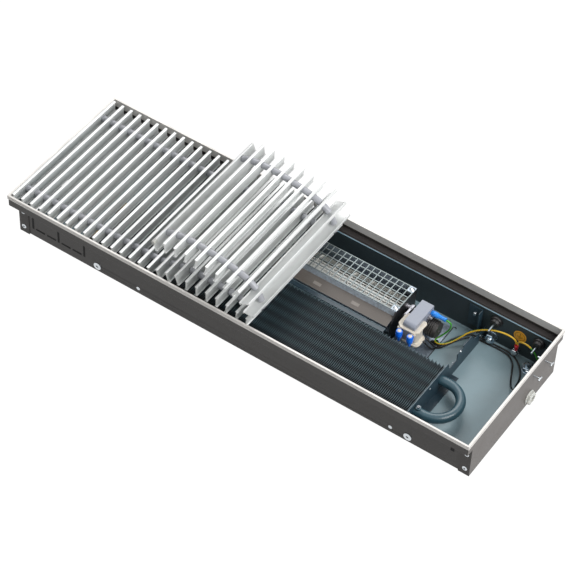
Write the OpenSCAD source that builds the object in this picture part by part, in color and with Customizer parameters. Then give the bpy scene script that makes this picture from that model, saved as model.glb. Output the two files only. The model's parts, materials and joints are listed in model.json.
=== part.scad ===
// Trench convector heater with a fan and a roll-up grille
// Origin: centre of the trough's underside. +X along the trough to the cable end, +Z up.
// The grille is drawn part rolled back over itself, as when the trough is opened for service.

/* [Trough] */
// Length over the trim frame
trough_len = 800; // [700:10:1400]
// Width over the trim frame
trough_w = 260; // [250:1:320]
// Height from the underside to the top of the trim
trough_h = 80; // [78:1:120]
// Thickness of the trough's sheet
sheet_t = 1; // [0.8:0.1:1.5]
// Width of the ledge on each side of the well
ledge_w = 15; // [13:0.5:18]
// Outer radius of the fold along the floor
fold_r = 2.5; // [2:0.1:4]
// How far the left end panel stands in from the trim
end_inset = 8; // [6:0.5:14]
// Width of the end panels' side flanges
end_flange_w = 18; // [14:1:26]
// Radius of the pipe passages in the left end panel
pipe_hole_r = 14; // [10:0.5:14]

/* [Trim frame] */
// Width of the trim seen from above
trim_w = 3; // [2.8:0.1:5]
// Thickness of the trim's legs
trim_t = 0.9; // [0.7:0.1:1.2]
// Depth of the trim's outer lip
trim_lip_h = 7; // [5:0.5:10]
// Depth of the trim's inner web
trim_web_h = 14; // [10:0.5:16]

/* [Grille] */
// Height of a grille bar
bar_h = 18; // [16:0.5:22]
// Width of a bar's flanges
bar_flange_w = 4.6; // [4:0.1:6]
// Thickness of a bar's flanges
bar_flange_t = 1.2; // [0.8:0.1:1.6]
// Thickness of a bar's web
bar_web_t = 1.5; // [1:0.1:2]
// Room between a bar's end and the trim
bar_end_gap = 4; // [1.5:0.5:6]
// Distance from bar to bar where the grille lies flat
bar_pitch = 16.5; // [15:0.5:20]
// Distance from bar to bar where the raised springs are stretched
roll_pitch = 17.6; // [16:0.1:20]
// Number of bars that lie flat
flat_bars = 16; // [8:1:30]
// Outer radius of a spacer tube
spacer_r = 5; // [4:0.1:6]
// Radius of the spring inside the spacers
spring_r = 2; // [1.5:0.1:2.5]
// Distance of each spring from the ends of the bars
spring_in = 31; // [20:1:50]
// Height of the springs' axis above the foot of the bars
spring_h = 7.2; // [7:0.1:9]

/* [Heat exchanger] */
// Height of the fins above the base
fin_top = 40; // [34:1:50]
// Thickness of a fin
fin_t = 0.5; // [0.3:0.1:0.8]
// Distance from fin to fin
fin_pitch = 4; // [3:0.5:8]
// Outer radius of the water tube
tube_r = 7.5; // [6:0.5:9]
// Wall of the water tube
tube_wall = 1; // [0.8:0.1:1.5]
// Distance of the near tube from the fins' near edge
tube_in_near = 20; // [14:1:24]
// Distance of the far tube from the fins' far edge
tube_in_far = 12; // [11:1:20]
// Height of the tubes' axes above the base
tube_z = 22; // [18:0.5:26]
// Length of the compartment between the exchanger and the right end
right_room = 115; // [112:1:160]
// Length of the compartment for the pipe connections
left_room = 130; // [110:1:145]

/* [Fan] */
// Length of the fan between its two end brackets
fan_len = 330; // [280:5:360]
// Radius of the impeller
fan_r = 20; // [17:0.5:21]
// Height of the fan's axis above the base
fan_z = 29; // [28:0.5:30]
// Width of the fan's guard
guard_w = 54; // [50:1:58]
// Pitch of the guard's square holes
mesh_pitch = 10.2; // [8:0.1:12]
// Width of the guard's square holes
mesh_hole = 7.5; // [5:0.1:7.8]
// Number of blades
blades = 20; // [14:1:28]

/* [Motor] */
// Thickness of the motor's iron core
core_t = 20; // [16:1:24]
// Height of the motor's iron core
core_h = 46; // [42:1:48]
// Radius of the motor's rotor
rotor_r = 11.5; // [9:0.5:12]
// Radius of the motor's shaft
shaft_r = 2.5; // [2:0.1:3]

/* [Electrics] */
// Outer radius of the cable gland's bore
gland_bore_r = 5.5; // [4:0.5:6]
// Radius of the gland's thread in the end panel
gland_r = 8; // [7:0.5:9]
// Radius of a single wire
wire_r = 1.3; // [0.8:0.1:1.8]
// Radius of the floor's anchor holes
anchor_r = 4.5; // [3:0.5:6]

/* [Hidden] */

$fn = 48;

// Clearances
fit_gap = 0.3;
run_gap = 0.05;
slip_gap = 0.1;
cut = 1;

// Heights
seal_t = 1.7;
ledge_h = trough_h - bar_h - seal_t - fit_gap;
bar_foot = ledge_h + seal_t + fit_gap;
floor_top = sheet_t;

// Trim and seals
groove_d = 0.25;
groove_w = 0.6;
seal_w = 9;

// Trough outline
rim_x = trough_len / 2;
rim_y = trough_w / 2;
well_w = trough_w - 2 * ledge_w;
wall_y = well_w / 2;
wall_in = wall_y - sheet_t;
band_y = rim_y - trim_t - slip_gap;
band_in = band_y - sheet_t;
band_top = trough_h - trim_t - slip_gap;
band_x = rim_x - trim_t - slip_gap;
panel_l = -rim_x + end_inset;
panel_r = band_x;
inner_r = panel_r - sheet_t;
inner_l = panel_l + sheet_t;

// Knock-outs in the near wall for the pipes
knock_x = 24.2;
knock_w = 48;
knock_foot = 17;
knock_h = 28;
slot_w = 2.6;
bridge_w = 4;

// Fasteners on the walls
rivet_r = 4;
rivet_t = 1;
rivet_low = 12;
rivet_high = 43;
rivet_in = 8;
anchor_screw_r = 6.5;
anchor_head_t = 2.5;
anchor_screw_z = 12;
anchor_left_x = 146;
anchor_right_x = 101.5;
anchor_bolt_r = 4;
anchor_nut_r = 7;
anchor_nut_t = 6;
anchor_bolt_len = 15;
small_screw_r = 3.2;
small_left_x = 221;
small_right_x = 130.5;
washer_r = 8.5;
washer_t = 1.4;
anchor_hole_in = 17;
anchor_hole_y = 10;
level_x = 32;
level_y = 19;
level_h = 14;

// Fan's place along and across the trough
fan_in = 52;
fan_end_in = 221.5;
fan_y = wall_in - fan_in;
fan_right = inner_r - fan_end_in;
fan_left = fan_right - fan_len;
guard_far = fan_y + guard_w / 2;
guard_near = fan_y - guard_w / 2;
bracket_foot = 12;
bracket_near = guard_near - bracket_foot;

// Exchanger
exch_in = 17;
exch_fan_gap = 19;
exch_r = inner_r - right_room;
exch_l = inner_l + left_room;
exch_near = exch_in - wall_in;
exch_far = bracket_near - exch_fan_gap;
fin_foot = 4;
tube_near_y = exch_near + tube_in_near;
tube_far_y = exch_far - tube_in_far;
tube_gap = tube_far_y - tube_near_y;
tube_mid_y = (tube_near_y + tube_far_y) / 2;
plate_t = 1.2;
plate_top = fin_top - sheet_t / 2;
plate_low_share = 0.6;
plate_mid_share = 0.9;
plate_near = wall_in - sheet_t;
bend_straight = 15;
plate_foot_w = 13;
tab_h = 55;
tab_flange_w = 21;
tab_back = 7;
tab_fold_w = 12;
slot_in = 16;
tab_x = exch_r - tab_back;
connector_len = 16;
socket_len = 7.5;
connector_r = 13;
connector_bore = 9.3;
connector_bore_len = 14;
baffle_w = 8;
notch_w = 11;
slot_h = 14;
baffle_lip = 6;
valve_r = 4;
valve_h = 3;
bleed_r = 2.2;
bleed_h = 2.4;
bleed_slot = 0.8;

// Fan housing and impeller
guard_t = 1;
guard_z = 56;
house_t = 1;
house_foot = 5;
lip_drop = 10;
lip_lean = 2;
cover_t = 1;
cover_gap = 1.5;
bracket_t = 2;
ring_w = 6;
ring_r = fan_r - ring_w;
ring_t = 1.2;
ring_gap = 55;
blade_t = 0.8;
blade_w = 6;
blade_tilt = 32;
end_gap = 3;
stub_r = 3;
bush_r = 8;
bush_t = 5;
screw_head_r = 4;
screw_head_t = 2;
screw_in = 5;

// Motor
core_standoff = 18.5;
core_near = 38;
core_far = 14;
core_x = fan_right + bracket_t + core_standoff;
core_y0 = fan_y - core_near;
core_y1 = fan_y + core_far;
core_z0 = 12;
limb_w = 11;
rotor_gap = 0.5;
frame_t = 3;
frame_gap = 5;
bobbin_t = 3;
bobbin_x = 8.5;
bobbin_near = 4;
bobbin_in = 26;
cap_len = 19;
cap_r = 14;
boot_r = 4.2;
boot_len = 22;
boot_pitch = 18;
boot_tail_share = 0.7;
rib_share = 0.5;
blue_len = 25;
blue_r = 4.2;
blue_tail_share = 0.8;
blue_in = 1.5;

// Electrics
gland_in = 70;
gland_y = wall_in - gland_in;
gland_z = 14.5;
gland_flange_r = 11.5;
gland_flange_t = 1.5;
gland_head_len = 5;
gland_nut_r = 12;
gland_nut_t = 17;
gland_tail = 3;
latch_z = 57;
latch_ins = [65.2, 32];
latch_y = [for (d = latch_ins) wall_in - d];
latch_r = 1.3;
latch_len = 10;
latch_bar = 9;
latch_in = 12;
stud_x = 60;
stud_z = 12;
stud_r = 2.5;
stud_len = 9;
terminal_len = 13;
sticker_x = 59;
sticker_z = 39;
sticker_r = 10.5;
sticker_t = 0.4;
knob_x = [98, 27];
knob_z = 47;
knob_r = 9.5;
knob_len = 10;
knob_neck_share = 0.75;
pin_r = 1.4;
pin_len = 15;
clip_x = 164;
clip_y = 60;
clip_r = 4;
clip_h = 5;
wire_sides = 8;
steep = 0.9;

// Wires that the trough holds, as points chosen by hand along their real routes
earth_route = [[242.2, 69.6, 49], [246, 70, 48.2], [249, 71, 45], [249.6, 71.8, 40], [248.5, 72, 33],
  [244.5, 71, 24], [240, 69, 17], [236, 66.5, 12], [233.2, 63.8, 9.2], [232.6, 61, 8], [234, 58.8, 7.5],
  [237, 58, 7.4], [241.5, 59, 7.2], [248, 64, 7], [255, 74, 8], [262, 84, 13], [269, 91, 20],
  [279.6, 95, 28.5], [292, 97, 36.5], [306, 99, 42.5], [319, 101, 44.5], [330, 103.2, 42.5],
  [336.5, 105, 38], [338.8, 106, 33], [338.9, 106, 30]];
loop_route = [[341.7, 106, 30], [341.9, 105.8, 33], [344, 105, 37.5], [350, 103.5, 42],
  [360, 102, 43.5], [370, 101, 39], [377, 100, 31], [383, 99, 23], [390, 98, 17], [397.8, 98, 16]];
cable_route_a = [[225.6, 44, 23], [229, 44.5, 21], [234.5, 46, 14.5], [240.5, 49.5, 7], [244.5, 56, 3],
  [248, 64, 2.5], [254, 78, 2.5], [263, 92, 2.5], [271, 99.5, 2.5], [279.6, 102.2, 2.5],
  [290, 103, 2.5], [304, 103.5, 2.5], [320, 103.8, 2.5], [333, 101.5, 2.5], [344, 93, 2.5], [351, 80, 2.5],
  [358, 65, 3.2], [364, 54, 6.5], [369, 46.5, 11], [373.2, 43, 13.8], [377.9, 42.3, 14.5]];
cable_route_b = [[225.6, 37, 23], [229, 37.5, 20], [233, 40.5, 11.5], [237, 46.5, 4.2],
  [240.5, 54, 2.5], [243.5, 64, 2.5], [249, 78, 2.5], [257.5, 93, 2.5], [267, 103.5, 2.5],
  [279.6, 106.8, 2.5], [292, 107.6, 2.5], [306, 108, 2.5], [323, 108, 2.5], [338, 105.5, 2.5],
  [351, 97.5, 2.5], [361, 86, 2.5], [367, 74, 3], [370.2, 62.5, 6], [372.2, 53.5, 10.5], [374.4, 48, 13.6],
  [377.9, 46.7, 14.5]];

// Grille bars and springs
bar_len = trough_w - 2 * trim_w - 2 * bar_end_gap;
spring_y = bar_len / 2 - spring_in;

// Grille chain: bars in each raised part, and the angle each part lies at
part_bars = [3, 4, 3, 1, 1, 1, 1, 1, 1, 1, 1, 1, 1, 1];
part_angles = [16, -1, -9, 92, 115, 145, 160, 168, 170, 172, 176, 181, 188, 200];
fold_index = 3;
fold_spacer = 9.5;
first_bar_x = -rim_x + trim_w + fit_gap + bar_flange_w / 2;
last_flat_x = first_bar_x + (flat_bars - 1) * bar_pitch;
hinge_z = bar_foot + spring_h + spacer_r;
chain_start = [last_flat_x + bar_web_t / 2, hinge_z];

function turn(v, a) = [v[0] * cos(a) - v[1] * sin(a), v[0] * sin(a) + v[1] * cos(a)];
function part_turn(k) = part_angles[k] - (k == 0 ? 0 : part_angles[k - 1]);
function part_hinge(k) =
  k == 0 ? chain_start : part_hinge(k - 1) + turn([part_bars[k - 1] * roll_pitch, 0], part_angles[k - 1]);

// Helpers that lay an outline along the trough or across it
module along_x(x0, x1) {
  translate([x0, 0, 0]) rotate([90, 0, 90]) linear_extrude(x1 - x0) children();
}
module along_y(y0, y1) {
  translate([0, y1, 0]) rotate([90, 0, 0]) linear_extrude(y1 - y0) children();
}
module box(lo, hi) {
  translate(lo) cube(hi - lo);
}
module rod_x(r, x0, x1, y, z) {
  translate([x0, y, z]) rotate([0, 90, 0]) cylinder(r = r, h = x1 - x0);
}
module rod_y(r, y0, y1, x, z) {
  translate([x, y1, z]) rotate([90, 0, 0]) cylinder(r = r, h = y1 - y0);
}
module rod_z(r, z0, z1, x, y) {
  translate([x, y, z0]) cylinder(r = r, h = z1 - z0);
}

// Wire: one tube of even section swept along a route
function unit(v) = v / norm(v);
function heading(p, i) = unit(p[min(i + 1, len(p) - 1)] - p[max(i - 1, 0)]);
function side_of(t) = unit(cross(t, abs(t[2]) > steep ? [0, 1, 0] : [0, 0, 1]));
function ring_at(p, i, r, n) =
  let (t = heading(p, i), s = side_of(t), u = cross(s, t))
  [for (k = [0 : n - 1]) p[i] + r * (cos(360 * k / n) * s + sin(360 * k / n) * u)];
module wire(p, r, n = wire_sides) {
  last = len(p) - 1;
  points = [for (i = [0 : last]) each ring_at(p, i, r, n)];
  sides = [for (i = [0 : last - 1], k = [0 : n - 1])
    [i * n + k, i * n + (k + 1) % n, (i + 1) * n + (k + 1) % n, (i + 1) * n + k]];
  start = [for (k = [0 : n - 1]) n - 1 - k];
  end = [for (k = [0 : n - 1]) last * n + k];
  polyhedron(points, concat([start], sides, [end]));
}

// Trough
module well_outline(half, top, r) {
  translate([-half, r]) square([2 * half, top - r]);
  translate([r - half, 0]) square([2 * (half - r), r]);
  for (s = [-1, 1]) translate([s * (half - r), r]) circle(r);
}
module trough_profile() {
  difference() {
    well_outline(wall_y, ledge_h, fold_r);
    translate([0, sheet_t]) well_outline(wall_in, ledge_h, fold_r - sheet_t);
  }
  for (s = [0, 1]) mirror([s, 0]) {
    translate([wall_in, ledge_h - sheet_t]) square([band_in - slip_gap - wall_in, sheet_t]);
    band_profile();
  }
}
// Upright strip that stands along the ledge and carries the trim
module band_profile() {
  translate([band_in, ledge_h - sheet_t]) square([sheet_t, band_top - ledge_h + sheet_t]);
}
module knock_out_slots() {
  run = (knock_w - slot_w - 3 * bridge_w) / 2;
  for (k = [0 : 2])
    box([panel_l + knock_x + k * knock_w, -wall_y - cut, knock_foot],
        [panel_l + knock_x + k * knock_w + slot_w, -wall_in + cut, knock_foot + knock_h]);
  for (k = [0, 1], j = [0, 1]) {
    x0 = panel_l + knock_x + k * knock_w + slot_w + bridge_w + j * (run + bridge_w);
    box([x0, -wall_y - cut, knock_foot], [x0 + run, -wall_in + cut, knock_foot + slot_w]);
  }
}
module trough_shell() color([0.24, 0.23, 0.23]) {
  difference() {
    union() {
      along_x(inner_l, inner_r) trough_profile();
      for (s = [0, 1]) mirror([0, s, 0]) along_x(sheet_t - band_x, inner_l + cut) band_profile();
    }
    knock_out_slots();
    for (x = [panel_l + anchor_left_x, panel_r - anchor_right_x]) {
      rod_y(anchor_bolt_r + slip_gap, -wall_y - cut, -wall_in + cut, x, anchor_screw_z);
      rod_y(anchor_bolt_r + slip_gap, wall_in - cut, wall_y + cut, x, anchor_screw_z);
    }
    for (x = [-1, 1], y = [-1, 1])
      rod_z(anchor_r, -cut, floor_top + cut, x * (rim_x - anchor_hole_in - end_inset),
        y * (wall_y - anchor_hole_y));
  }
}
module end_panel_left() color([0.24, 0.23, 0.23]) {
  along_x(panel_l, inner_l) difference() {
    translate([-wall_y - sheet_t, 0]) square([well_w + 2 * sheet_t, ledge_h]);
    for (y = [tube_near_y, tube_far_y]) translate([y, tube_z]) circle(pipe_hole_r);
  }
  for (s = [0, 1]) mirror([0, s, 0])
    box([panel_l, wall_y, 0], [panel_l + end_flange_w, wall_y + sheet_t, ledge_h - sheet_t]);
  box([-band_x, -band_in, ledge_h - sheet_t], [inner_l, band_in, ledge_h]);
  box([-band_x, -band_y, ledge_h - sheet_t], [sheet_t - band_x, band_y, band_top]);
}
module end_panel_right() color([0.49, 0.47, 0.46]) {
  difference() {
    union() {
      along_x(inner_r, panel_r) {
        translate([-wall_y - sheet_t, 0]) square([well_w + 2 * sheet_t, ledge_h]);
        translate([-band_y, ledge_h - sheet_t]) square([2 * band_y, band_top - ledge_h + sheet_t]);
      }
      for (s = [0, 1]) mirror([0, s, 0])
        box([panel_r - end_flange_w, wall_y, 0], [panel_r, wall_y + sheet_t, ledge_h - sheet_t]);
    }
    rod_x(gland_r + slip_gap, inner_r - cut, panel_r + cut, gland_y, gland_z);
    for (y = latch_y) rod_x(latch_r + slip_gap, inner_r - cut, panel_r + cut, y, latch_z);
  }
}

// Trim frame with mitred corners
module trim_profile() {
  difference() {
    union() {
      translate([-trim_w, -trim_t]) square([trim_w, trim_t]);
      translate([-trim_t, -trim_lip_h]) square([trim_t, trim_lip_h]);
      translate([-trim_w, -trim_web_h]) square([trim_t, trim_web_h]);
    }
    for (k = [1, 2]) translate([-groove_d, -k * trim_lip_h / 3]) square([groove_d + cut, groove_w]);
  }
}
module mitre(half) {
  for (s = [0, 1]) mirror([s, 0, 0])
    translate([half, 0, 0]) rotate([0, 0, -45])
      translate([0, -2 * trough_w, -trough_h]) cube([trough_w, 4 * trough_w, 3 * trough_h]);
}
module trim_bar(half, out) {
  difference() {
    translate([0, out, trough_h]) along_x(-half, half) trim_profile();
    translate([0, out, 0]) mitre(half);
  }
}
module trim_sides() color([0.93, 0.93, 0.92]) {
  for (s = [0, 1]) mirror([0, s, 0]) trim_bar(rim_x, rim_y);
}
module trim_ends() color([0.93, 0.93, 0.92]) {
  for (s = [-1, 1]) rotate([0, 0, s * 90]) trim_bar(rim_y, rim_x);
}
module ledge_seals() color([0.2, 0.17, 0.16]) {
  for (s = [0, 1]) mirror([0, s, 0])
    box([inner_l, band_in - 2 * sheet_t - seal_w, ledge_h],
        [inner_r - sheet_t, band_in - 2 * sheet_t, ledge_h + seal_t]);
}

// Fasteners on the walls
module rivet_y(x, z, s) {
  mirror([0, s, 0]) {
    rod_y(rivet_r, wall_y + sheet_t, wall_y + sheet_t + rivet_t, x, z);
  }
}
module panel_rivets() color([0.78, 0.78, 0.78]) {
  for (s = [0, 1], x = [panel_l + rivet_in, panel_r - rivet_in], z = [rivet_low, rivet_high])
    rivet_y(x, z, s);
}
module wall_screws() color([0.72, 0.73, 0.74]) {
  for (s = [0, 1]) mirror([0, s, 0]) {
    for (x = [panel_l + anchor_left_x, panel_r - anchor_right_x]) {
      difference() {
        rod_y(anchor_screw_r, wall_y, wall_y + anchor_head_t, x, anchor_screw_z);
        for (a = [0, 90]) translate([x, wall_y + anchor_head_t, anchor_screw_z]) rotate([0, a, 0])
          cube([anchor_screw_r, anchor_head_t, screw_head_t / 2], center = true);
      }
      rod_y(anchor_bolt_r, wall_in - anchor_bolt_len, wall_y, x, anchor_screw_z);
    }
    for (x = [panel_l + small_left_x, panel_r - small_right_x])
      rod_y(small_screw_r, wall_y, wall_y + rivet_t, x, anchor_screw_z);
  }
  rod_y(small_screw_r, wall_in - fit_gap - plate_t - rivet_t, wall_in - fit_gap - plate_t,
    tab_x - tab_flange_w / 2, plate_top);
}
module hex_y(r, y0, y1, x, z, bore) {
  difference() {
    translate([x, y1, z]) rotate([90, 0, 0]) cylinder(r = r, h = y1 - y0, $fn = 6);
    rod_y(bore, y0 - cut, y1 + cut, x, z);
  }
}
module anchor_nuts() color([0.62, 0.66, 0.7]) {
  for (s = [0, 1], x = [panel_l + anchor_left_x, panel_r - anchor_right_x]) mirror([0, s, 0]) {
    difference() {
      rod_y(washer_r, wall_in - washer_t, wall_in, x, anchor_screw_z);
      rod_y(anchor_bolt_r + run_gap, wall_in - 2 * washer_t, wall_in + cut, x, anchor_screw_z);
    }
    hex_y(anchor_nut_r, wall_in - washer_t - anchor_nut_t, wall_in - washer_t, x, anchor_screw_z,
      anchor_bolt_r + run_gap);
  }
}
module levelling_screw() color([0.62, 0.66, 0.7]) {
  x = panel_r - level_x;
  y = wall_y - level_y;
  rod_z(washer_r, floor_top, floor_top + washer_t, x, y);
  translate([x, y, floor_top + washer_t]) cylinder(r = anchor_nut_r, h = anchor_nut_t, $fn = 6);
  rod_z(anchor_bolt_r, floor_top + washer_t + anchor_nut_t, level_h, x, y);
}

// Heat exchanger
module fin_outline() {
  difference() {
    translate([exch_near, fin_foot]) square([exch_far - exch_near, fin_top - fin_foot]);
    for (y = [tube_near_y, tube_far_y]) translate([y, tube_z]) circle(tube_r + run_gap);
  }
}
module fin_pack() color([0.16, 0.2, 0.22]) {
  count = floor((exch_r - exch_l - fin_pitch) / fin_pitch);
  for (i = [0 : count - 1]) {
    x = exch_r - plate_t - (i + 1) * fin_pitch;
    along_x(x, x + fin_t) fin_outline();
  }
}
module tube_run(y) {
  difference() {
    rod_x(tube_r, exch_l - bend_straight, exch_r + bend_straight, y, tube_z);
    rod_x(tube_r - tube_wall, exch_l - bend_straight - cut, exch_r + bend_straight + cut, y, tube_z);
  }
}
module water_tubes() color([0.25, 0.33, 0.37]) {
  for (y = [tube_near_y, tube_far_y]) tube_run(y);
}
module return_bend() color([0.25, 0.33, 0.37]) {
  translate([exch_r + bend_straight, tube_mid_y, tube_z]) rotate([0, 0, -90])
    rotate_extrude(angle = 180) translate([tube_gap / 2, 0]) difference() {
      circle(tube_r);
      circle(tube_r - tube_wall);
    }
}
module pipe_connectors() color([0.78, 0.68, 0.45]) {
  back = exch_l - bend_straight;
  mouth = back - connector_len;
  for (y = [tube_near_y, tube_far_y]) difference() {
    union() {
      translate([mouth, y, tube_z]) rotate([0, 90, 0]) cylinder(r = connector_r, h = connector_len, $fn = 6);
      rod_x(tube_r + 2 * tube_wall, back, back + socket_len, y, tube_z);
    }
    rod_x(connector_bore, mouth - cut, mouth + connector_bore_len, y, tube_z);
    rod_x(tube_r - tube_wall, mouth, back + cut, y, tube_z);
    rod_x(tube_r + run_gap, back, back + socket_len + cut, y, tube_z);
  }
}
module plate_holes() {
  for (y = [tube_near_y, tube_far_y]) translate([y, tube_z]) circle(tube_r + run_gap);
}
module exchanger_plate_right() color([0.14, 0.19, 0.22]) {
  low = plate_low_share * fin_top;
  mid = plate_mid_share * fin_top;
  tab_far = wall_in - fit_gap;
  along_x(exch_r, exch_r + plate_t) difference() {
    polygon([[-plate_near, floor_top], [-plate_near, plate_top], [exch_far + baffle_lip, plate_top],
      [exch_far + notch_w, low], [core_y0 + notch_w, low], [core_y0 + notch_w, mid],
      [fan_y - notch_w, mid], [fan_y - notch_w, plate_top], [fan_y + notch_w, plate_top],
      [fan_y + 2 * notch_w, low], [tab_far, low], [tab_far, floor_top]]);
    plate_holes();
    translate([wall_in - slot_in, 0]) square([notch_w + sheet_t, slot_h]);
  }
  box([tab_x - tab_flange_w, tab_far - plate_t, slot_h], [tab_x, tab_far, tab_h]);
  along_x(tab_x, tab_x + plate_t) translate([wall_in - tab_fold_w, slot_h])
    square([tab_far - wall_in + tab_fold_w, tab_h - slot_h]);
  box([exch_r + plate_t, -plate_near, floor_top], [exch_r + plate_foot_w, core_y0, floor_top + plate_t]);
}
module exchanger_plate_left() color([0.14, 0.19, 0.22]) {
  along_x(exch_l - plate_t, exch_l) difference() {
    translate([-plate_near, floor_top]) square([plate_near + exch_far + baffle_w, plate_top - floor_top]);
    plate_holes();
  }
}
module exchanger_baffle() color([0.14, 0.2, 0.25]) {
  far = exch_far + baffle_w;
  box([exch_l, exch_far + slip_gap, fin_top - sheet_t], [fan_right, far, fin_top]);
  box([exch_l, far - sheet_t, fin_top - baffle_lip], [fan_right, far, fin_top]);
}
module bleed_valve() color([0.75, 0.76, 0.76]) {
  x = exch_r + bend_straight / 2 - plate_t;
  top = tube_z + tube_r + valve_h;
  difference() {
    rod_z(valve_r, tube_z, top, x, tube_near_y);
    rod_x(tube_r + run_gap, x - 2 * valve_r, x + 2 * valve_r, tube_near_y, tube_z);
    rod_z(bleed_r + run_gap, top - bleed_h, top + cut, x, tube_near_y);
  }
}
module bleed_screw() color([0.8, 0.78, 0.7]) {
  x = exch_r + bend_straight / 2 - plate_t;
  top = tube_z + tube_r + valve_h;
  difference() {
    rod_z(bleed_r, top - bleed_h + run_gap, top + screw_head_t, x, tube_near_y);
    translate([x, tube_near_y, top + screw_head_t])
      cube([2 * bleed_r + cut, bleed_slot, screw_head_t], center = true);
  }
}

// Fan
module housing_profile() {
  translate([guard_near, house_foot]) square([guard_far - guard_near + house_t, house_t]);
  translate([guard_far, house_foot]) square([house_t, guard_z - house_foot]);
  polygon([[guard_near, guard_z], [guard_near + house_t, guard_z],
    [guard_near + house_t - lip_lean, guard_z - lip_drop], [guard_near - lip_lean, guard_z - lip_drop]]);
  cover_far = guard_near + house_t - lip_lean;
  cover_near = exch_far + baffle_w + cover_gap;
  polygon([[cover_near, fin_top + cover_gap], [cover_near, fin_top + cover_gap + cover_t],
    [cover_far, guard_z - lip_drop + cover_t], [cover_far, guard_z - lip_drop]]);
}
module fan_housing() color([0.66, 0.7, 0.74]) {
  along_x(fan_left, fan_right) housing_profile();
}
module fan_guard() color([0.6, 0.64, 0.64]) {
  rows = floor((guard_w - mesh_pitch / 4) / mesh_pitch);
  holes = floor((fan_len - mesh_pitch) / mesh_pitch);
  edge = (guard_w - rows * mesh_pitch + mesh_pitch - mesh_hole) / 2;
  translate([0, 0, guard_z]) linear_extrude(guard_t) difference() {
    translate([fan_left - bracket_t, guard_near]) square([fan_len + 2 * bracket_t, guard_w + house_t]);
    for (i = [0 : holes - 1], j = [0 : rows - 1])
      translate([fan_right - mesh_pitch - i * mesh_pitch, guard_near + edge + j * mesh_pitch])
        translate([-mesh_hole / 2, 0]) square(mesh_hole);
  }
}
module bracket(hole) {
  difference() {
    polygon([[bracket_near, floor_top], [guard_far + house_t, floor_top], [guard_far + house_t, guard_z],
      [guard_near, guard_z], [bracket_near, plate_top]]);
    translate([fan_y, fan_z]) circle(hole);
  }
}
module fan_brackets() color([0.08, 0.08, 0.09]) {
  along_x(fan_right, fan_right + bracket_t) bracket(bush_r);
  along_x(fan_left - bracket_t, fan_left) bracket(bush_r);
}
module fan_bearing() color([0.12, 0.12, 0.13]) {
  difference() {
    union() {
      rod_x(bush_r - run_gap, fan_left - bracket_t, fan_left, fan_y, fan_z);
      rod_x(bush_r + sheet_t, fan_left - bracket_t - bush_t, fan_left - bracket_t, fan_y, fan_z);
    }
    rod_x(stub_r + run_gap, fan_left - 2 * bush_t, fan_left + cut, fan_y, fan_z);
  }
}
module guard_screws() color([0.78, 0.8, 0.82]) {
  for (x = [fan_left + screw_head_r, fan_right - screw_head_r / 2], s = [-1, 1])
    rod_z(screw_head_r, guard_z + guard_t, guard_z + guard_t + screw_head_t, x,
      fan_y + s * (guard_w / 2 - screw_in));
}
module fan_impeller() color([0.35, 0.38, 0.4]) {
  x0 = fan_left + end_gap;
  x1 = fan_right - end_gap;
  translate([0, fan_y, fan_z]) {
    rod_x(fan_r, x0, x0 + ring_t, 0, 0);
    rod_x(fan_r, x1 - ring_t, x1, 0, 0);
    rod_x(stub_r, fan_left - bracket_t - bush_t, x0, 0, 0);
    for (i = [1 : floor((x1 - x0) / ring_gap)]) if (x0 + i * ring_gap < x1 - ring_gap / 2)
      along_x(x0 + i * ring_gap, x0 + i * ring_gap + ring_t) difference() {
        circle(fan_r);
        circle(ring_r);
      }
    for (k = [0 : blades - 1]) along_x(x0, x1) rotate(k * 360 / blades)
      translate([fan_r - blade_w + blade_t, 0]) rotate(blade_tilt) square([blade_w - blade_t, blade_t]);
  }
}
module motor_shaft() color([0.7, 0.7, 0.72]) {
  rod_x(shaft_r, fan_right - end_gap, core_x + core_t + cap_len - frame_t, fan_y, fan_z);
  rod_x(rotor_r, core_x + rotor_gap, core_x + core_t - rotor_gap, fan_y, fan_z);
}

// Motor
module motor_frame() color([0.74, 0.74, 0.76]) {
  x0 = fan_right + bracket_t;
  plate_x = core_x - frame_gap - frame_t;
  difference() {
    union() {
      rod_x(rotor_r + frame_t, plate_x, plate_x + frame_t, fan_y, fan_z);
      rod_x(shaft_r + 2 * frame_t, plate_x - frame_t, plate_x + frame_t, fan_y, fan_z);
      box([plate_x, fan_y - frame_t, fan_z - rotor_r - 2 * frame_t],
        [plate_x + frame_t, fan_y + frame_t, fan_z + rotor_r + 2 * frame_t]);
      for (s = [-1, 1]) rod_x(frame_t, x0, core_x, fan_y, fan_z + s * (rotor_r + 2 * frame_t));
    }
    rod_x(shaft_r + run_gap, x0 - cut, core_x, fan_y, fan_z);
  }
}
module motor_core() color([0.56, 0.6, 0.66]) {
  r = 2 * frame_t;
  along_x(core_x, core_x + core_t) difference() {
    union() {
      translate([core_y0 + r, core_z0]) square([core_y1 - core_y0 - r, core_h]);
      translate([core_y0, core_z0]) square([core_y1 - core_y0 - r, core_h - r]);
      translate([core_y0 + r, core_z0 + core_h - r]) circle(r);
    }
    translate([core_y0 + limb_w, core_z0 + limb_w])
      square([fan_y - rotor_r - core_y0 - 2 * limb_w + frame_t, core_h - 2 * limb_w]);
    translate([fan_y, fan_z]) circle(rotor_r + rotor_gap);
  }
}
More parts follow.
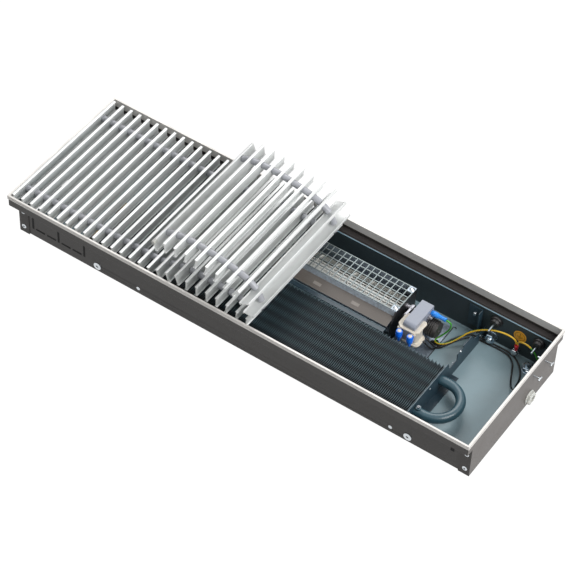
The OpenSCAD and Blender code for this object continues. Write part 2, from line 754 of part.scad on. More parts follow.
module motor_bobbin() color([0.92, 0.89, 0.84]) {
  y0 = core_y0 - bobbin_near;
  y1 = core_y0 + bobbin_in;
  low = core_z0 + limb_w;
  high = core_z0 + core_h - limb_w;
  well_y = fan_y - rotor_r - limb_w + frame_t;
  end_x = core_x + core_t;
  difference() {
    union() {
      box([core_x - bobbin_x, y0, high - bobbin_t], [end_x + frame_t, y1, high + bobbin_t]);
      box([core_x - bobbin_x / 2, y0, low - bobbin_t], [end_x + bobbin_x, y1 - bobbin_t, low + bobbin_t]);
      box([core_x - frame_t, y0 + bobbin_t, low], [end_x + bobbin_t, y1 - bobbin_t, high]);
    }
    box([core_x - run_gap, core_y0 - run_gap, -cut], [end_x + run_gap, core_y0 + limb_w + run_gap, trough_h]);
    for (z = [core_z0, core_z0 + core_h - limb_w])
      box([core_x - run_gap, core_y0, z - run_gap], [end_x + run_gap, core_y1, z + limb_w + run_gap]);
    box([core_x - run_gap, well_y - run_gap, -cut], [end_x + run_gap, core_y1, trough_h]);
  }
}
module motor_cap() color([0.13, 0.13, 0.14]) {
  x0 = core_x + core_t;
  ribs = 4;
  rib_pitch = (cap_len - 2 * frame_t) / ribs;
  difference() {
    union() {
      rod_x(cap_r - frame_t / 2, x0, x0 + cap_len, fan_y, fan_z);
      for (k = [0 : ribs - 1])
        translate([x0 + frame_t + k * rib_pitch, 0, 0]) rod_x(cap_r, 0, rib_share * rib_pitch, fan_y, fan_z);
    }
    rod_x(shaft_r + run_gap, x0 - cut, x0 + cap_len + cut, fan_y, fan_z);
  }
}
module terminal_boots() color([0.08, 0.35, 0.78]) {
  top = core_z0 + core_h - limb_w;
  for (k = [0, 1]) {
    x = core_x + k * boot_pitch;
    y = core_y0 - bobbin_near - boot_r;
    rod_z(boot_r, top - boot_len / 2, top, x, y);
    rod_z(boot_r * boot_tail_share, top - boot_len, top - boot_len / 2, x, y);
  }
}
module earth_connector() color([0.15, 0.5, 0.9]) {
  x = core_x + core_t;
  y = core_y1 - blue_in * blue_r;
  z = core_z0 + core_h - 3 * frame_t;
  rod_x(blue_r, x, x + blue_len / 2, y, z);
  rod_x(blue_r * blue_tail_share, x + blue_len / 2, x + blue_len, y, z);
}

// Cables and earth parts
module cable_clip() color([0.07, 0.07, 0.08]) {
  x = panel_r - clip_x;
  rod_z(clip_r, floor_top, floor_top + clip_h, x, clip_y);
  box([x - 2 * clip_r, clip_y - clip_r / 2, floor_top], [x, clip_y + clip_r / 2, floor_top + clip_h / 2]);
}
module earth_wire() color([0.82, 0.75, 0.22]) {
  wire(earth_route, wire_r);
  wire(loop_route, wire_r);
}
module supply_cables() color([0.06, 0.06, 0.07]) {
  wire(cable_route_a, wire_r);
  wire(cable_route_b, wire_r);
}
module ring_terminal() color([0.75, 0.1, 0.12]) {
  x = panel_r - stud_x;
  y = wall_in - 3 * sheet_t - 2 * stud_r;
  rod_z(2 * wire_r + fit_gap, stud_z + 2 * stud_r, stud_z + 2 * stud_r + terminal_len, x + wire_r, y);
  difference() {
    rod_y(2 * stud_r, y - sheet_t / 2, y + sheet_t / 2, x, stud_z);
    rod_y(stud_r + run_gap, y - cut, y + cut, x, stud_z);
  }
}
module earth_stud() color([0.7, 0.71, 0.72]) {
  x = panel_r - stud_x;
  y = wall_in - 3 * sheet_t - 2 * stud_r;
  rod_y(stud_r, wall_in - stud_len - stud_r, wall_in, x, stud_z);
  hex_y(2 * stud_r, y + sheet_t / 2, wall_in, x, stud_z, stud_r + run_gap);
  hex_y(2 * stud_r, y - sheet_t / 2 - stud_r, y - sheet_t / 2, x, stud_z, stud_r + run_gap);
}
module earth_sticker() color([0.9, 0.65, 0.2]) {
  rod_y(sticker_r, wall_in - sticker_t, wall_in, panel_r - sticker_x, sticker_z);
}
module wall_knobs() color([0.06, 0.06, 0.07]) {
  for (x = knob_x) difference() {
    union() {
      rod_y(knob_r, wall_in - knob_len / 2, wall_in, panel_r - x, knob_z);
      rod_y(knob_r * knob_neck_share, wall_in - knob_len, wall_in - knob_len / 2, panel_r - x, knob_z);
    }
    rod_y(pin_r + run_gap, wall_in - knob_len - cut, wall_in + cut, panel_r - x, knob_z);
  }
}
module knob_pins() color([0.75, 0.76, 0.78]) {
  for (x = knob_x) rod_y(pin_r, wall_in - knob_len - pin_len, wall_in, panel_r - x, knob_z);
}
module cable_gland() color([0.88, 0.88, 0.86]) {
  difference() {
    union() {
      rod_x(gland_r, inner_r - gland_nut_t - gland_tail, panel_r, gland_y, gland_z);
      rod_x(gland_flange_r, panel_r, panel_r + gland_flange_t, gland_y, gland_z);
      translate([panel_r + gland_flange_t, gland_y, gland_z]) rotate([0, 90, 0])
        cylinder(r = gland_flange_r, h = gland_head_len, $fn = 6);
    }
    rod_x(gland_bore_r, inner_r - 2 * gland_flange_r, panel_r + 2 * gland_flange_r, gland_y, gland_z);
  }
}
module gland_nut() color([0.9, 0.9, 0.88]) {
  difference() {
    translate([inner_r - gland_nut_t, gland_y, gland_z]) rotate([0, 90, 0])
      cylinder(r = gland_nut_r, h = gland_nut_t, $fn = 6);
    rod_x(gland_r + run_gap, inner_r - 2 * gland_nut_t, inner_r + cut, gland_y, gland_z);
  }
}
module end_latches() color([0.8, 0.81, 0.83]) {
  for (y = latch_y) {
    rod_x(latch_r, inner_r - latch_in, panel_r + latch_len, y, latch_z);
    rod_y(latch_r, y - latch_bar / 2, y + latch_bar / 2, panel_r + latch_len, latch_z);
    rod_x(2 * latch_r, inner_r - latch_in / 2, inner_r, y, latch_z);
  }
}

// Grille
module bar_section() {
  foot = -bar_h / 2;
  for (z = [foot, -foot - bar_flange_t])
    translate([-bar_flange_w / 2, z]) square([bar_flange_w, bar_flange_t]);
  translate([-bar_web_t / 2, foot]) square([bar_web_t, bar_h]);
}
// One bar, with its foot and its hole at the heights of the flat grille
module grille_bar(x, foot) {
  difference() {
    translate([x, 0, foot + bar_h / 2]) along_y(-bar_len / 2, bar_len / 2) bar_section();
    for (s = [-1, 1]) rod_x(spring_r + fit_gap, x - bar_web_t, x + bar_web_t, s * spring_y, foot + spring_h);
  }
}
module spacer(x0, x1, y, z) {
  difference() {
    rod_x(spacer_r, x0, x1, y, z);
    rod_x(spring_r + fit_gap, x0 - cut, x1 + cut, y, z);
  }
}
module grille_flat() color([0.95, 0.95, 0.95]) {
  for (i = [0 : flat_bars - 1]) grille_bar(first_bar_x + i * bar_pitch, bar_foot);
}
module grille_spacers() color([0.58, 0.59, 0.62]) {
  for (i = [0 : flat_bars - 2], s = [-1, 1])
    spacer(first_bar_x + i * bar_pitch + bar_web_t / 2, first_bar_x + (i + 1) * bar_pitch - bar_web_t / 2,
      s * spring_y, bar_foot + spring_h);
}
module grille_springs() color([0.5, 0.51, 0.53]) {
  for (s = [-1, 1])
    rod_x(spring_r, first_bar_x - bar_web_t, last_flat_x + bar_web_t / 2, s * spring_y, bar_foot + spring_h);
}
// One raised part of the chain: its bars, their spacers and springs, turned about its hinge
module chain_part(k) {
  h = part_hinge(k);
  foot = -spring_h - spacer_r;
  drop = max(0, -part_turn(k));
  gap = k == fold_index ? roll_pitch - bar_web_t - fold_spacer
    : (fit_gap + 2 * spacer_r * sin(drop)) / cos(drop);
  translate([h[0], 0, h[1]]) rotate([0, -part_angles[k], 0])
    for (i = [0 : part_bars[k] - 1]) {
      x1 = (i + 1) * roll_pitch - bar_web_t;
      color([0.95, 0.95, 0.95]) grille_bar(x1 + bar_web_t / 2, foot);
      for (s = [-1, 1]) {
        x0 = i * roll_pitch + (i == 0 ? gap : slip_gap);
        color([0.58, 0.59, 0.62]) spacer(x0, x1 - slip_gap, s * spring_y, -spacer_r);
        color([0.5, 0.51, 0.53]) rod_x(spring_r, x0, x1 + bar_web_t - slip_gap, s * spring_y, -spacer_r);
      }
    }
}

trough_shell();
end_panel_left();
end_panel_right();
trim_sides();
trim_ends();
ledge_seals();
panel_rivets();
wall_screws();
anchor_nuts();
levelling_screw();
fin_pack();
water_tubes();
return_bend();
pipe_connectors();
exchanger_plate_right();
exchanger_plate_left();
exchanger_baffle();
bleed_valve();
bleed_screw();
fan_housing();
fan_guard();
fan_brackets();
fan_bearing();
guard_screws();
fan_impeller();
motor_shaft();
motor_frame();
motor_core();
motor_bobbin();
motor_cap();
terminal_boots();
earth_connector();
cable_clip();
earth_wire();
supply_cables();
ring_terminal();
earth_stud();
earth_sticker();
wall_knobs();
knob_pins();
cable_gland();
gland_nut();
end_latches();
grille_flat();
grille_spacers();
grille_springs();
chain_part(0);  // grille_arch_rise
chain_part(1);  // grille_arch_top
chain_part(2);  // grille_arch_fall
chain_part(3);  // grille_link_01
chain_part(4);  // grille_link_02
chain_part(5);  // grille_link_03
chain_part(6);  // grille_link_04
chain_part(7);  // grille_link_05
chain_part(8);  // grille_link_06
chain_part(9);  // grille_link_07
chain_part(10);  // grille_link_08
chain_part(11);  // grille_link_09
chain_part(12);  // grille_link_10
chain_part(13);  // grille_link_11
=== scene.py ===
import json
import logging
import math
from dataclasses import dataclass
from enum import Enum
from typing import Callable, Sequence

import bmesh
import bpy
from mathutils import Matrix, Vector


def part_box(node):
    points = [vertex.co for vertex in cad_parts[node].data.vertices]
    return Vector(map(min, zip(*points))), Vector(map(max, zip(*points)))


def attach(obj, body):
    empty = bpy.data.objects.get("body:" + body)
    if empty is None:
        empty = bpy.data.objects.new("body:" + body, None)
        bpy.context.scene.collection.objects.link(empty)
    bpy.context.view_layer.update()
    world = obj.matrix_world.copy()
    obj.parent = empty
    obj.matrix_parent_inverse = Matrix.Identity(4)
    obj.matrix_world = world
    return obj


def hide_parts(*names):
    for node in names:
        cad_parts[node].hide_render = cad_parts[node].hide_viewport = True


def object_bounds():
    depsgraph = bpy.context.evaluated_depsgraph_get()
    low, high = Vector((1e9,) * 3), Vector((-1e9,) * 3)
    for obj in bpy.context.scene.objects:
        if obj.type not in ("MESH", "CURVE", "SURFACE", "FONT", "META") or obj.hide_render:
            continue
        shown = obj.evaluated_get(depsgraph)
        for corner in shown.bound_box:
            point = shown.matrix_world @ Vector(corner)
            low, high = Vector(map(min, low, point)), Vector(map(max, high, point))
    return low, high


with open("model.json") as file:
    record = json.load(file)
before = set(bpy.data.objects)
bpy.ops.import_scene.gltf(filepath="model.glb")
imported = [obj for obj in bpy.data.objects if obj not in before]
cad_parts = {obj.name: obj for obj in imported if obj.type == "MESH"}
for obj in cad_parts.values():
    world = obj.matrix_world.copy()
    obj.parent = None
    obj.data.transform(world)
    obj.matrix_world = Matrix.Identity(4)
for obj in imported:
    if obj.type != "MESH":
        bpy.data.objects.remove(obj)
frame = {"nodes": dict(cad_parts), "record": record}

CAD_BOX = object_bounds()
LOG = logging.getLogger("trench_heater")
# One millimetre, in the metres of the frame
MM = 0.001
# Thickness of the exchanger's plates
PLATE_T = 1.2
# How far the water tubes reach past the inner face of the right plate
TUBE_END = 15.0
# Two surfaces that would flicker if they shared a plane are this far apart
LIFT = 0.05
SLOTS = {row["node"]: row["material_slot"] for row in frame["record"]["subparts"]}

Point = tuple[float, float, float]
Flat = tuple[float, float]
Colour = tuple[float, float, float]


class Axis(Enum):
    """The axis that a prism, a lathe or a plate lies along."""

    X = 0
    Y = 1
    Z = 2

    def point(self, t: float, a: float, b: float) -> Vector:
        """The point at t along this axis and at (a, b) across it."""
        return Vector(((t, a, b), (a, t, b), (a, b, t))[self.value])


@dataclass(frozen=True)
class Span:
    """A CAD node's box at rest, in millimetres.

    Args:
        lo: The lowest corner.
        hi: The highest corner.
    """

    lo: Vector
    hi: Vector

    @classmethod
    def of(cls, node: str) -> "Span":
        """The box of one CAD node."""
        lo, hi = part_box(node)
        return cls(lo / MM, hi / MM)

    @property
    def mid(self) -> Vector:
        """The middle of the box."""
        return (self.lo + self.hi) / 2


def rgb(red: int, green: int, blue: int) -> Colour:
    """A display colour from 0 to 255, as the linear colour that shaders take."""
    parts = [c / 255 for c in (red, green, blue)]
    return tuple(c / 12.92 if c <= 0.04045 else ((c + 0.055) / 1.055) ** 2.4 for c in parts)


def curve_through(points: Sequence[Point], steps: int = 5) -> list[Vector]:
    """A smooth line through a few points.

    Args:
        points: The points that it passes.
        steps: The pieces between two of them.

    Returns:
        The points of the line, the first and last included.
    """
    p = [Vector(q) for q in points]
    p = [2 * p[0] - p[1], *p, 2 * p[-1] - p[-2]]
    line = []
    for i in range(1, len(p) - 2):
        a, b, c, d = p[i - 1:i + 3]
        for k in range(steps):
            t = k / steps
            line.append(0.5 * (2 * b + (c - a) * t + (2 * a - 5 * b + 4 * c - d) * t ** 2
                               + (3 * b - a - 3 * c + d) * t ** 3))
    return [*line, p[-2]]


def arc(centre: Flat, radius: float, start: float, end: float, steps: int = 6) -> list[Flat]:
    """Points on an arc, from the angle start to the angle end in degrees."""
    angles = [math.radians(start + (end - start) * k / steps) for k in range(steps + 1)]
    return [(centre[0] + radius * math.cos(a), centre[1] + radius * math.sin(a)) for a in angles]


def rounded(lo: Flat, hi: Flat, radius: float, steps: int = 4) -> list[Flat]:
    """A rectangle's outline with round corners.

    Args:
        lo: The lowest corner.
        hi: The highest corner.
        radius: The corners' radius.
        steps: The steps in each corner.

    Returns:
        The points of the outline, from the upper right corner round by the left.
    """
    (x0, y0), (x1, y1) = lo, hi
    corners = [(x1 - radius, y1 - radius, 0), (x0 + radius, y1 - radius, 90),
               (x0 + radius, y0 + radius, 180), (x1 - radius, y0 + radius, 270)]
    return [q for x, y, a in corners for q in arc((x, y), radius, a, a + 90, steps)]


def disc(start: float, end: float, radius: float) -> list[Flat]:
    """The turned profile of a solid disc or pin."""
    return [(start, 0), (start, radius), (end, radius), (end, 0)]


def ring(start: float, end: float, bore: float, radius: float) -> list[Flat]:
    """The turned profile of a ring, which is a loop."""
    return [(start, bore), (start, radius), (end, radius), (end, bore)]


class Shape:
    """Faces of one piece, gathered in millimetres in the row's frame.

    Args:
        name: The piece's name.
    """

    def __init__(self, name: str) -> None:
        """Starts an empty piece."""
        self.name = name
        self.mesh = bmesh.new()
        self.uv = self.mesh.loops.layers.uv.new("UVMap")
        self.place = Matrix.Identity(4)
        self.skin = 0

    def _vert(self, point: Vector) -> bmesh.types.BMVert:
        """A vertex at the point, turned and moved by the current place."""
        return self.mesh.verts.new(self.place @ point)

    def _face(self, verts: Sequence[bmesh.types.BMVert]) -> bmesh.types.BMFace | None:
        """A face in the current skin.

        Args:
            verts: Its corners, in order.

        Returns:
            The face, or None where its points fall together.
        """
        if len(set(verts)) < 3:
            return None
        made = self.mesh.faces.new(verts)
        made.material_index = self.skin
        return made

    def box(self, lo: Point, hi: Point) -> None:
        """A block from its lowest corner to its highest."""
        self.prism(Axis.Z, lo[2], hi[2], [(lo[0], lo[1]), (hi[0], lo[1]), (hi[0], hi[1]), (lo[0], hi[1])])

    def prism(self, axis: Axis, start: float, end: float, outline: Sequence[Flat]) -> None:
        """An outline drawn out along an axis.

        Args:
            axis: The axis that it lies along.
            start: Where it starts on the axis.
            end: Where it ends.
            outline: The points of its section.
        """
        rings = [[self._vert(axis.point(t, a, b)) for a, b in outline] for t in (start, end)]
        self._skin_rings(rings, True)

    def _skin_rings(self, rings: list[list[bmesh.types.BMVert]], capped: bool, closed: bool = False) -> None:
        """Sides between rings of vertices.

        Args:
            rings: The rings, in order.
            capped: Whether each end gets a cap.
            closed: Whether the last ring is joined to the first instead.
        """
        count = len(rings[0])
        pairs = list(zip(rings, rings[1:])) + ([(rings[-1], rings[0])] if closed else [])
        for low, high in pairs:
            for k in range(count):
                j = (k + 1) % count
                corners = [low[k], low[j], high[j], high[k]]
                self._face(list(dict.fromkeys(corners)))
        if capped and not closed:
            self._face(list(dict.fromkeys(rings[0]))[::-1])
            self._face(list(dict.fromkeys(rings[-1])))

    def lathe(self, axis: Axis, across: Flat, profile: Sequence[Flat], sides: int = 32, closed: bool = False,
              turn: float = 0.0) -> None:
        """A turned form round a line parallel to an axis.

        Args:
            axis: The axis that the line is parallel to.
            across: Where the line crosses the plane across the axis.
            profile: The (place along the axis, radius) points of its section.
            sides: How many flats it has round.
            closed: Whether the profile is a loop, as on a ring or a pipe.
            turn: The angle of its first corner, in degrees.
        """
        rings = []
        for t, r in profile:
            if r <= 0:
                rings.append([self._vert(axis.point(t, *across))] * sides)
                continue
            angles = [math.radians(turn) + math.tau * k / sides for k in range(sides)]
            rings.append([self._vert(axis.point(t, across[0] + r * math.cos(a), across[1] + r * math.sin(a)))
                          for a in angles])
        self._skin_rings(rings, not closed, closed)

    def tube(self, line: Sequence[Vector], radius: float, sides: int = 14) -> None:
        """A round wire along a line, with its length and its turn in its UV map.

        Args:
            line: The points of its middle line.
            radius: Its outer radius.
            sides: How many flats it has round.
        """
        last = len(line) - 1
        headings = [(line[min(i + 1, last)] - line[max(i - 1, 0)]).normalized() for i in range(last + 1)]
        side = headings[0].cross(Vector((0, 0, 1)))
        side = (side if side.length > 0.1 else headings[0].cross(Vector((0, 1, 0)))).normalized()
        frames = []
        for h in headings:
            side = (side - h * side.dot(h)).normalized()
            frames.append((side.copy(), h.cross(side)))
        lengths = [0.0]
        for a, b in zip(line, line[1:]):
            lengths.append(lengths[-1] + (b - a).length)
        rings = []
        for p, (s, u) in zip(line, frames):
            rings.append([self._vert(p + (s * math.cos(a) + u * math.sin(a)) * radius)
                          for a in (math.tau * k / sides for k in range(sides))])
        for i in range(len(rings) - 1):
            for k in range(sides):
                j = (k + 1) % sides
                made = self._face([rings[i][k], rings[i][j], rings[i + 1][j], rings[i + 1][k]])
                turns = (k / sides, (k + 1) / sides, (k + 1) / sides, k / sides)
                along = (lengths[i], lengths[i], lengths[i + 1], lengths[i + 1])
                for loop, u, v in zip(made.loops, turns, along):
                    loop[self.uv].uv = (u, v)
        self._face(rings[0][::-1])
        self._face(rings[-1])

    def finish(self, body: str, finishes: Sequence[bpy.types.Material], replaces: Sequence[str] = (),
               slot: str = "", bevel: float = 0.0, segments: int = 2,
               angle: float = 35.0) -> bpy.types.Object:
        """The finished piece, dressed and riding on its body.

        Args:
            body: The CAD body that it rides on.
            finishes: Its materials, in the order of the skins.
            replaces: The CAD nodes that it stands for.
            slot: The record's material slot; not used.
            bevel: The width of its edge rounding in millimetres, or zero.
            segments: The steps in that rounding.
            angle: Edges that turn by more than this stay crisp or are rounded, in degrees.

        Returns:
            The new object.
        """
        bmesh.ops.recalc_face_normals(self.mesh, faces=self.mesh.faces)
        for face in self.mesh.faces:
            face.smooth = True
        bmesh.ops.scale(self.mesh, vec=(MM, MM, MM), verts=self.mesh.verts)
        data = bpy.data.meshes.new(self.name)
        self.mesh.to_mesh(data)
        self.mesh.free()
        data.set_sharp_from_angle(angle=math.radians(angle))
        made = bpy.data.objects.new(self.name, data)
        bpy.context.scene.collection.objects.link(made)
        for finish in finishes:
            data.materials.append(finish)
        if bevel:
            add_bevel(made, bevel, segments, angle)
        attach(made, body)
        if replaces:
            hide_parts(*replaces)
        LOG.info("  %s, on %s", self.name, body)
        return made


def add_bevel(piece: bpy.types.Object, width: float, segments: int = 2, angle: float = 35.0) -> None:
    """Rounds a piece's sharp edges.

    Args:
        piece: The piece.
        width: The rounding's width, in millimetres.
        segments: The steps in the rounding.
        angle: Edges that turn by more than this are rounded, in degrees.
    """
    edge = piece.modifiers.new("edge_rounding", "BEVEL")
    edge.width = width * MM
    edge.segments = segments
    edge.limit_method = "ANGLE"
    edge.angle_limit = math.radians(angle)
    edge.harden_normals = True
    edge.use_clamp_overlap = True


def dress(node: str, material: bpy.types.Material, bevel: float = 0.0) -> None:
    """Gives a CAD node its finish.

    Args:
        node: The node's name.
        material: Its finish.
        bevel: The width of its edge rounding in millimetres, or zero.
    """
    piece = frame["nodes"][node]
    piece.data.materials.clear()
    piece.data.materials.append(material)
    if bevel:
        weld = piece.modifiers.new("weld", "WELD")
        weld.merge_threshold = MM / 100
        add_bevel(piece, bevel, 2, 40)
    LOG.info("  %s, the CAD's own, in %s", node, material.name)


class Graph:
    """A material's node tree, with short calls that add and join its nodes.

    Args:
        name: The material's name.
    """

    def __init__(self, name: str) -> None:
        """Starts a tree with its shader and the object's coordinates."""
        self.material = bpy.data.materials.new(name)
        self.material.use_nodes = True
        self.tree = self.material.node_tree
        self.shader = next(n for n in self.tree.nodes if n.type == "BSDF_PRINCIPLED")
        self.coords = self.add("TexCoord").outputs["Object"]

    def add(self, kind: str, settings: dict | None = None, **values: object) -> bpy.types.Node:
        """Adds a shader node.

        Args:
            kind: The node's type, without its usual prefix.
            settings: The node's own properties.
            values: The inputs to set or to join, with _ for a space.

        Returns:
            The new node.
        """
        made = self.tree.nodes.new("ShaderNode" + kind)
        for name, value in (settings or {}).items():
            setattr(made, name, value)
        for name, value in values.items():
            self.feed(made.inputs[name.replace("_", " ")], value)
        return made

    def feed(self, socket: bpy.types.NodeSocket, value: object) -> None:
        """Sets a socket, or joins it to another.

        Args:
            socket: The socket.
            value: Its value, or the socket that it is joined to.
        """
        if isinstance(value, bpy.types.NodeSocket):
            self.tree.links.new(value, socket)
        else:
            socket.default_value = value

    def mapped(self, scale: Point, turn: float = 0.0) -> bpy.types.NodeSocket:
        """The object's coordinates, scaled per axis and turned about Z by an angle in degrees."""
        return self.add("Mapping", Vector=self.coords, Scale=scale,
                        Rotation=(0, 0, math.radians(turn))).outputs["Vector"]

    def noise(self, scale: float, detail: float = 3.0, vector: bpy.types.NodeSocket | None = None
              ) -> bpy.types.NodeSocket:
        """A noise value at a scale in cycles per metre."""
        return self.add("TexNoise", Vector=vector or self.coords, Scale=scale,
                        Detail=detail).outputs["Fac"]

    def spread(self, value: bpy.types.NodeSocket, low: float, high: float, to_low: float, to_high: float
               ) -> bpy.types.NodeSocket:
        """A value moved from one range to another, and kept in it."""
        return self.add("MapRange", Value=value, From_Min=low, From_Max=high, To_Min=to_low,
                        To_Max=to_high).outputs["Result"]

    def math(self, operation: str, first: object, second: object = 0.0) -> bpy.types.NodeSocket:
        """The result of one sum.

        Args:
            operation: The sum's name.
            first: Its first value or socket.
            second: Its second one.

        Returns:
            The socket with the result.
        """
        made = self.add("Math", {"operation": operation})
        self.feed(made.inputs[0], first)
        self.feed(made.inputs[1], second)
        return made.outputs[0]

    def blend(self, share: object, first: object, second: object) -> bpy.types.NodeSocket:
        """Mixes two colours.

        Args:
            share: The share of the second one, from 0 to 1.
            first: The first colour or socket.
            second: The second one.

        Returns:
            The socket with the mixed colour.
        """
        made = self.add("Mix", {"data_type": "RGBA"})
        self.feed(made.inputs[0], share)
        for socket, value in ((made.inputs[6], first), (made.inputs[7], second)):
            self.feed(socket, (*value, 1.0) if isinstance(value, tuple) else value)
        return made.outputs[2]

    def bump(self, height: bpy.types.NodeSocket, strength: float, distance: float) -> None:
        """Joins a bump, with its depth in millimetres, to the shader."""
        made = self.add("Bump", Height=height, Strength=strength, Distance=distance * MM)
        self.feed(self.shader.inputs["Normal"], made.outputs["Normal"])

    def set(self, **values: object) -> None:
        """Sets the shader's own sockets.

        Args:
            values: The sockets' names, with _ for a space, and what each gets.
        """
        for name, value in values.items():
            socket = self.shader.inputs[name.replace("_", " ")]
            if isinstance(value, tuple) and len(value) == 3 and socket.type == "RGBA":
                value = (*value, 1.0)
            self.feed(socket, value)


@dataclass(frozen=True)
class Paint:
    """A powder coat or lacquer with a fine grain.

    Args:
        name: The material's name.
        colour: Its colour.
        gloss: Its roughness.
        tone: How far the colour wanders, from 0 to 1.
        grain: The depth of its orange peel, in millimetres.
        coat: The weight of its clear layer.
        grain_scale: The scale of the orange peel, in cycles per metre.
        shine: Its specular level.
    """

    name: str
    colour: Colour
    gloss: float = 0.4
    tone: float = 0.12
    grain: float = 0.02
    coat: float = 0.0
    grain_scale: float = 1500.0
    shine: float = 0.5

    def build(self, tint: Callable[[Graph], object] | None = None) -> bpy.types.Material:
        """Builds the finish, with faint clouds, flecks and an orange peel.

        Args:
            tint: Gives the ground colour as a socket, where it isn't plain.

        Returns:
            The material.
        """
        g = Graph(self.name)
        cloud = g.noise(38.0, 4.0)
        speck = g.noise(self.grain_scale, 2.0)
        base = tint(g) if tint else self.colour
        full = base if tint else (*base, 1.0)
        dark = g.add("HueSaturation", Value=1 - self.tone, Color=full).outputs["Color"]
        mixed = g.blend(g.spread(cloud, 0.35, 0.65, 0.0, 1.0), dark, base)
        flecked = g.blend(g.spread(speck, 0.58, 0.72, 0.0, self.tone), mixed, (0.7, 0.7, 0.7))
        g.set(Base_Color=flecked, Roughness=g.spread(cloud, 0.3, 0.7, self.gloss * 0.9, self.gloss * 1.12),
              Coat_Weight=self.coat, Coat_Roughness=0.15, Specular_IOR_Level=self.shine)
        g.bump(speck, 0.5, self.grain)
        return g.material


@dataclass(frozen=True)
class Metal:
    """A bare or anodised metal with fine drawing lines.

    Args:
        name: The material's name.
        colour: Its colour.
        gloss: Its roughness.
        lines: The scale of its lines along X, Y and Z, in cycles per metre.
        depth: The depth of the lines, in millimetres.
        metallic: How metallic it is, from 0 to 1.
        tone: How far the colour wanders, from 0 to 1.
    """

    name: str
    colour: Colour
    gloss: float = 0.3
    lines: Point = (900.0, 12.0, 900.0)
    depth: float = 0.01
    metallic: float = 1.0
    tone: float = 0.1

    def build(self) -> bpy.types.Material:
        """Builds the finish, with fine lines and faint stains.

        Returns:
            The material.
        """
        g = Graph(self.name)
        drawn = g.noise(1.0, 4.0, g.mapped(self.lines))
        stain = g.noise(24.0, 3.0)
        dull = tuple(c * (1 - self.tone) for c in self.colour)
        colour = g.blend(g.spread(stain, 0.35, 0.65, 0.0, 1.0), dull, self.colour)
        g.set(Base_Color=colour, Metallic=self.metallic,
              Roughness=g.spread(drawn, 0.3, 0.7, self.gloss * 0.8, self.gloss * 1.25))
        g.bump(drawn, 0.35, self.depth)
        return g.material


@dataclass(frozen=True)
class Spangle:
    """Zinc-dipped sheet with its crystals.

    Args:
        name: The material's name.
        colour: Its colour.
        crystal: The scale of the crystals, in cycles per metre.
        gloss: Its roughness.
        metallic: How metallic it is, from 0 to 1.
    """

    name: str
    colour: Colour
    crystal: float = 420.0
    gloss: float = 0.42
    metallic: float = 0.75

    def build(self) -> bpy.types.Material:
        """Builds the finish, with a grey of its own for every crystal.

        Returns:
            The material.
        """
        g = Graph(self.name)
        cells = g.add("TexVoronoi", Vector=g.coords, Scale=self.crystal)
        grey = g.add("RGBToBW", Color=cells.outputs["Color"]).outputs["Val"]
        dull = tuple(c * 0.72 for c in self.colour)
        g.set(Base_Color=g.blend(g.spread(grey, 0.15, 0.85, 0.0, 1.0), dull, self.colour),
              Metallic=self.metallic, Roughness=g.spread(grey, 0.1, 0.9, self.gloss * 0.75, self.gloss * 1.3))
        g.bump(g.noise(self.crystal * 2, 2.0), 0.25, 0.02)
        return g.material


@dataclass(frozen=True)
class Moulded:
    """A moulded plastic or rubber.

    Args:
        name: The material's name.
        colour: Its colour.
        gloss: Its roughness.
        glow: How far light scatters under its skin, in millimetres.
        grain: The depth of its grain, in millimetres.
        tone: How far the colour wanders, from 0 to 1.
    """

    name: str
    colour: Colour
    gloss: float = 0.45
    glow: float = 0.0
    grain: float = 0.015
    tone: float = 0.08

    def build(self) -> bpy.types.Material:
        """Builds the finish, with faint clouds and a fine grain.

        Returns:
            The material.
        """
        g = Graph(self.name)
        fine = g.noise(2200.0, 2.0)
        broad = g.noise(60.0, 2.0)
        dull = tuple(c * (1 - self.tone) for c in self.colour)
        g.set(Base_Color=g.blend(g.spread(broad, 0.35, 0.65, 0.0, 1.0), dull, self.colour),
              Roughness=g.spread(broad, 0.3, 0.7, self.gloss * 0.9, self.gloss * 1.15))
        if self.glow:
            g.set(Subsurface_Weight=0.35, Subsurface_Radius=(1.0, 0.9, 0.8), Subsurface_Scale=self.glow * MM)
        g.bump(fine, 0.4, self.grain)
        return g.material


@dataclass(frozen=True)
class StripedCable:
    """Cable insulation of one colour, with a stripe of another that winds slowly round it.

    Args:
        name: The material's name.
        ground: The ground colour.
        stripe: The stripe's colour.
        share: The stripe's share of the way round.
        wind: Turns of the stripe per millimetre.
        start: The stripe's place round the wire where the wire begins, in turns.
        lead: The first length that is all of the stripe's colour, in millimetres.
    """

    name: str
    ground: Colour
    stripe: Colour
    share: float = 0.27
    wind: float = 0.002
    start: float = 0.0
    lead: float = 0.0

    def build(self) -> bpy.types.Material:
        """Builds the finish, with the stripe laid by the wire's UV map.

        Returns:
            The material.
        """
        g = Graph(self.name)
        uv = g.add("SeparateXYZ", Vector=g.add("TexCoord").outputs["UV"])
        turned = g.math("ADD", g.math("MULTIPLY", uv.outputs["Y"], self.wind), self.start)
        phase = g.math("FRACT", g.math("ADD", uv.outputs["X"], turned))
        stripe = g.math("LESS_THAN", phase, self.share)
        mask = g.math("MAXIMUM", stripe, g.math("LESS_THAN", uv.outputs["Y"], self.lead))
        worn = g.spread(g.noise(500.0), 0.3, 0.7, 0.82, 1.0)
        pair = g.blend(mask, self.ground, self.stripe)
        g.set(Base_Color=g.blend(worn, (0.2, 0.18, 0.05), pair), Roughness=0.32)
        g.bump(g.noise(900.0), 0.2, 0.02)
        return g.material


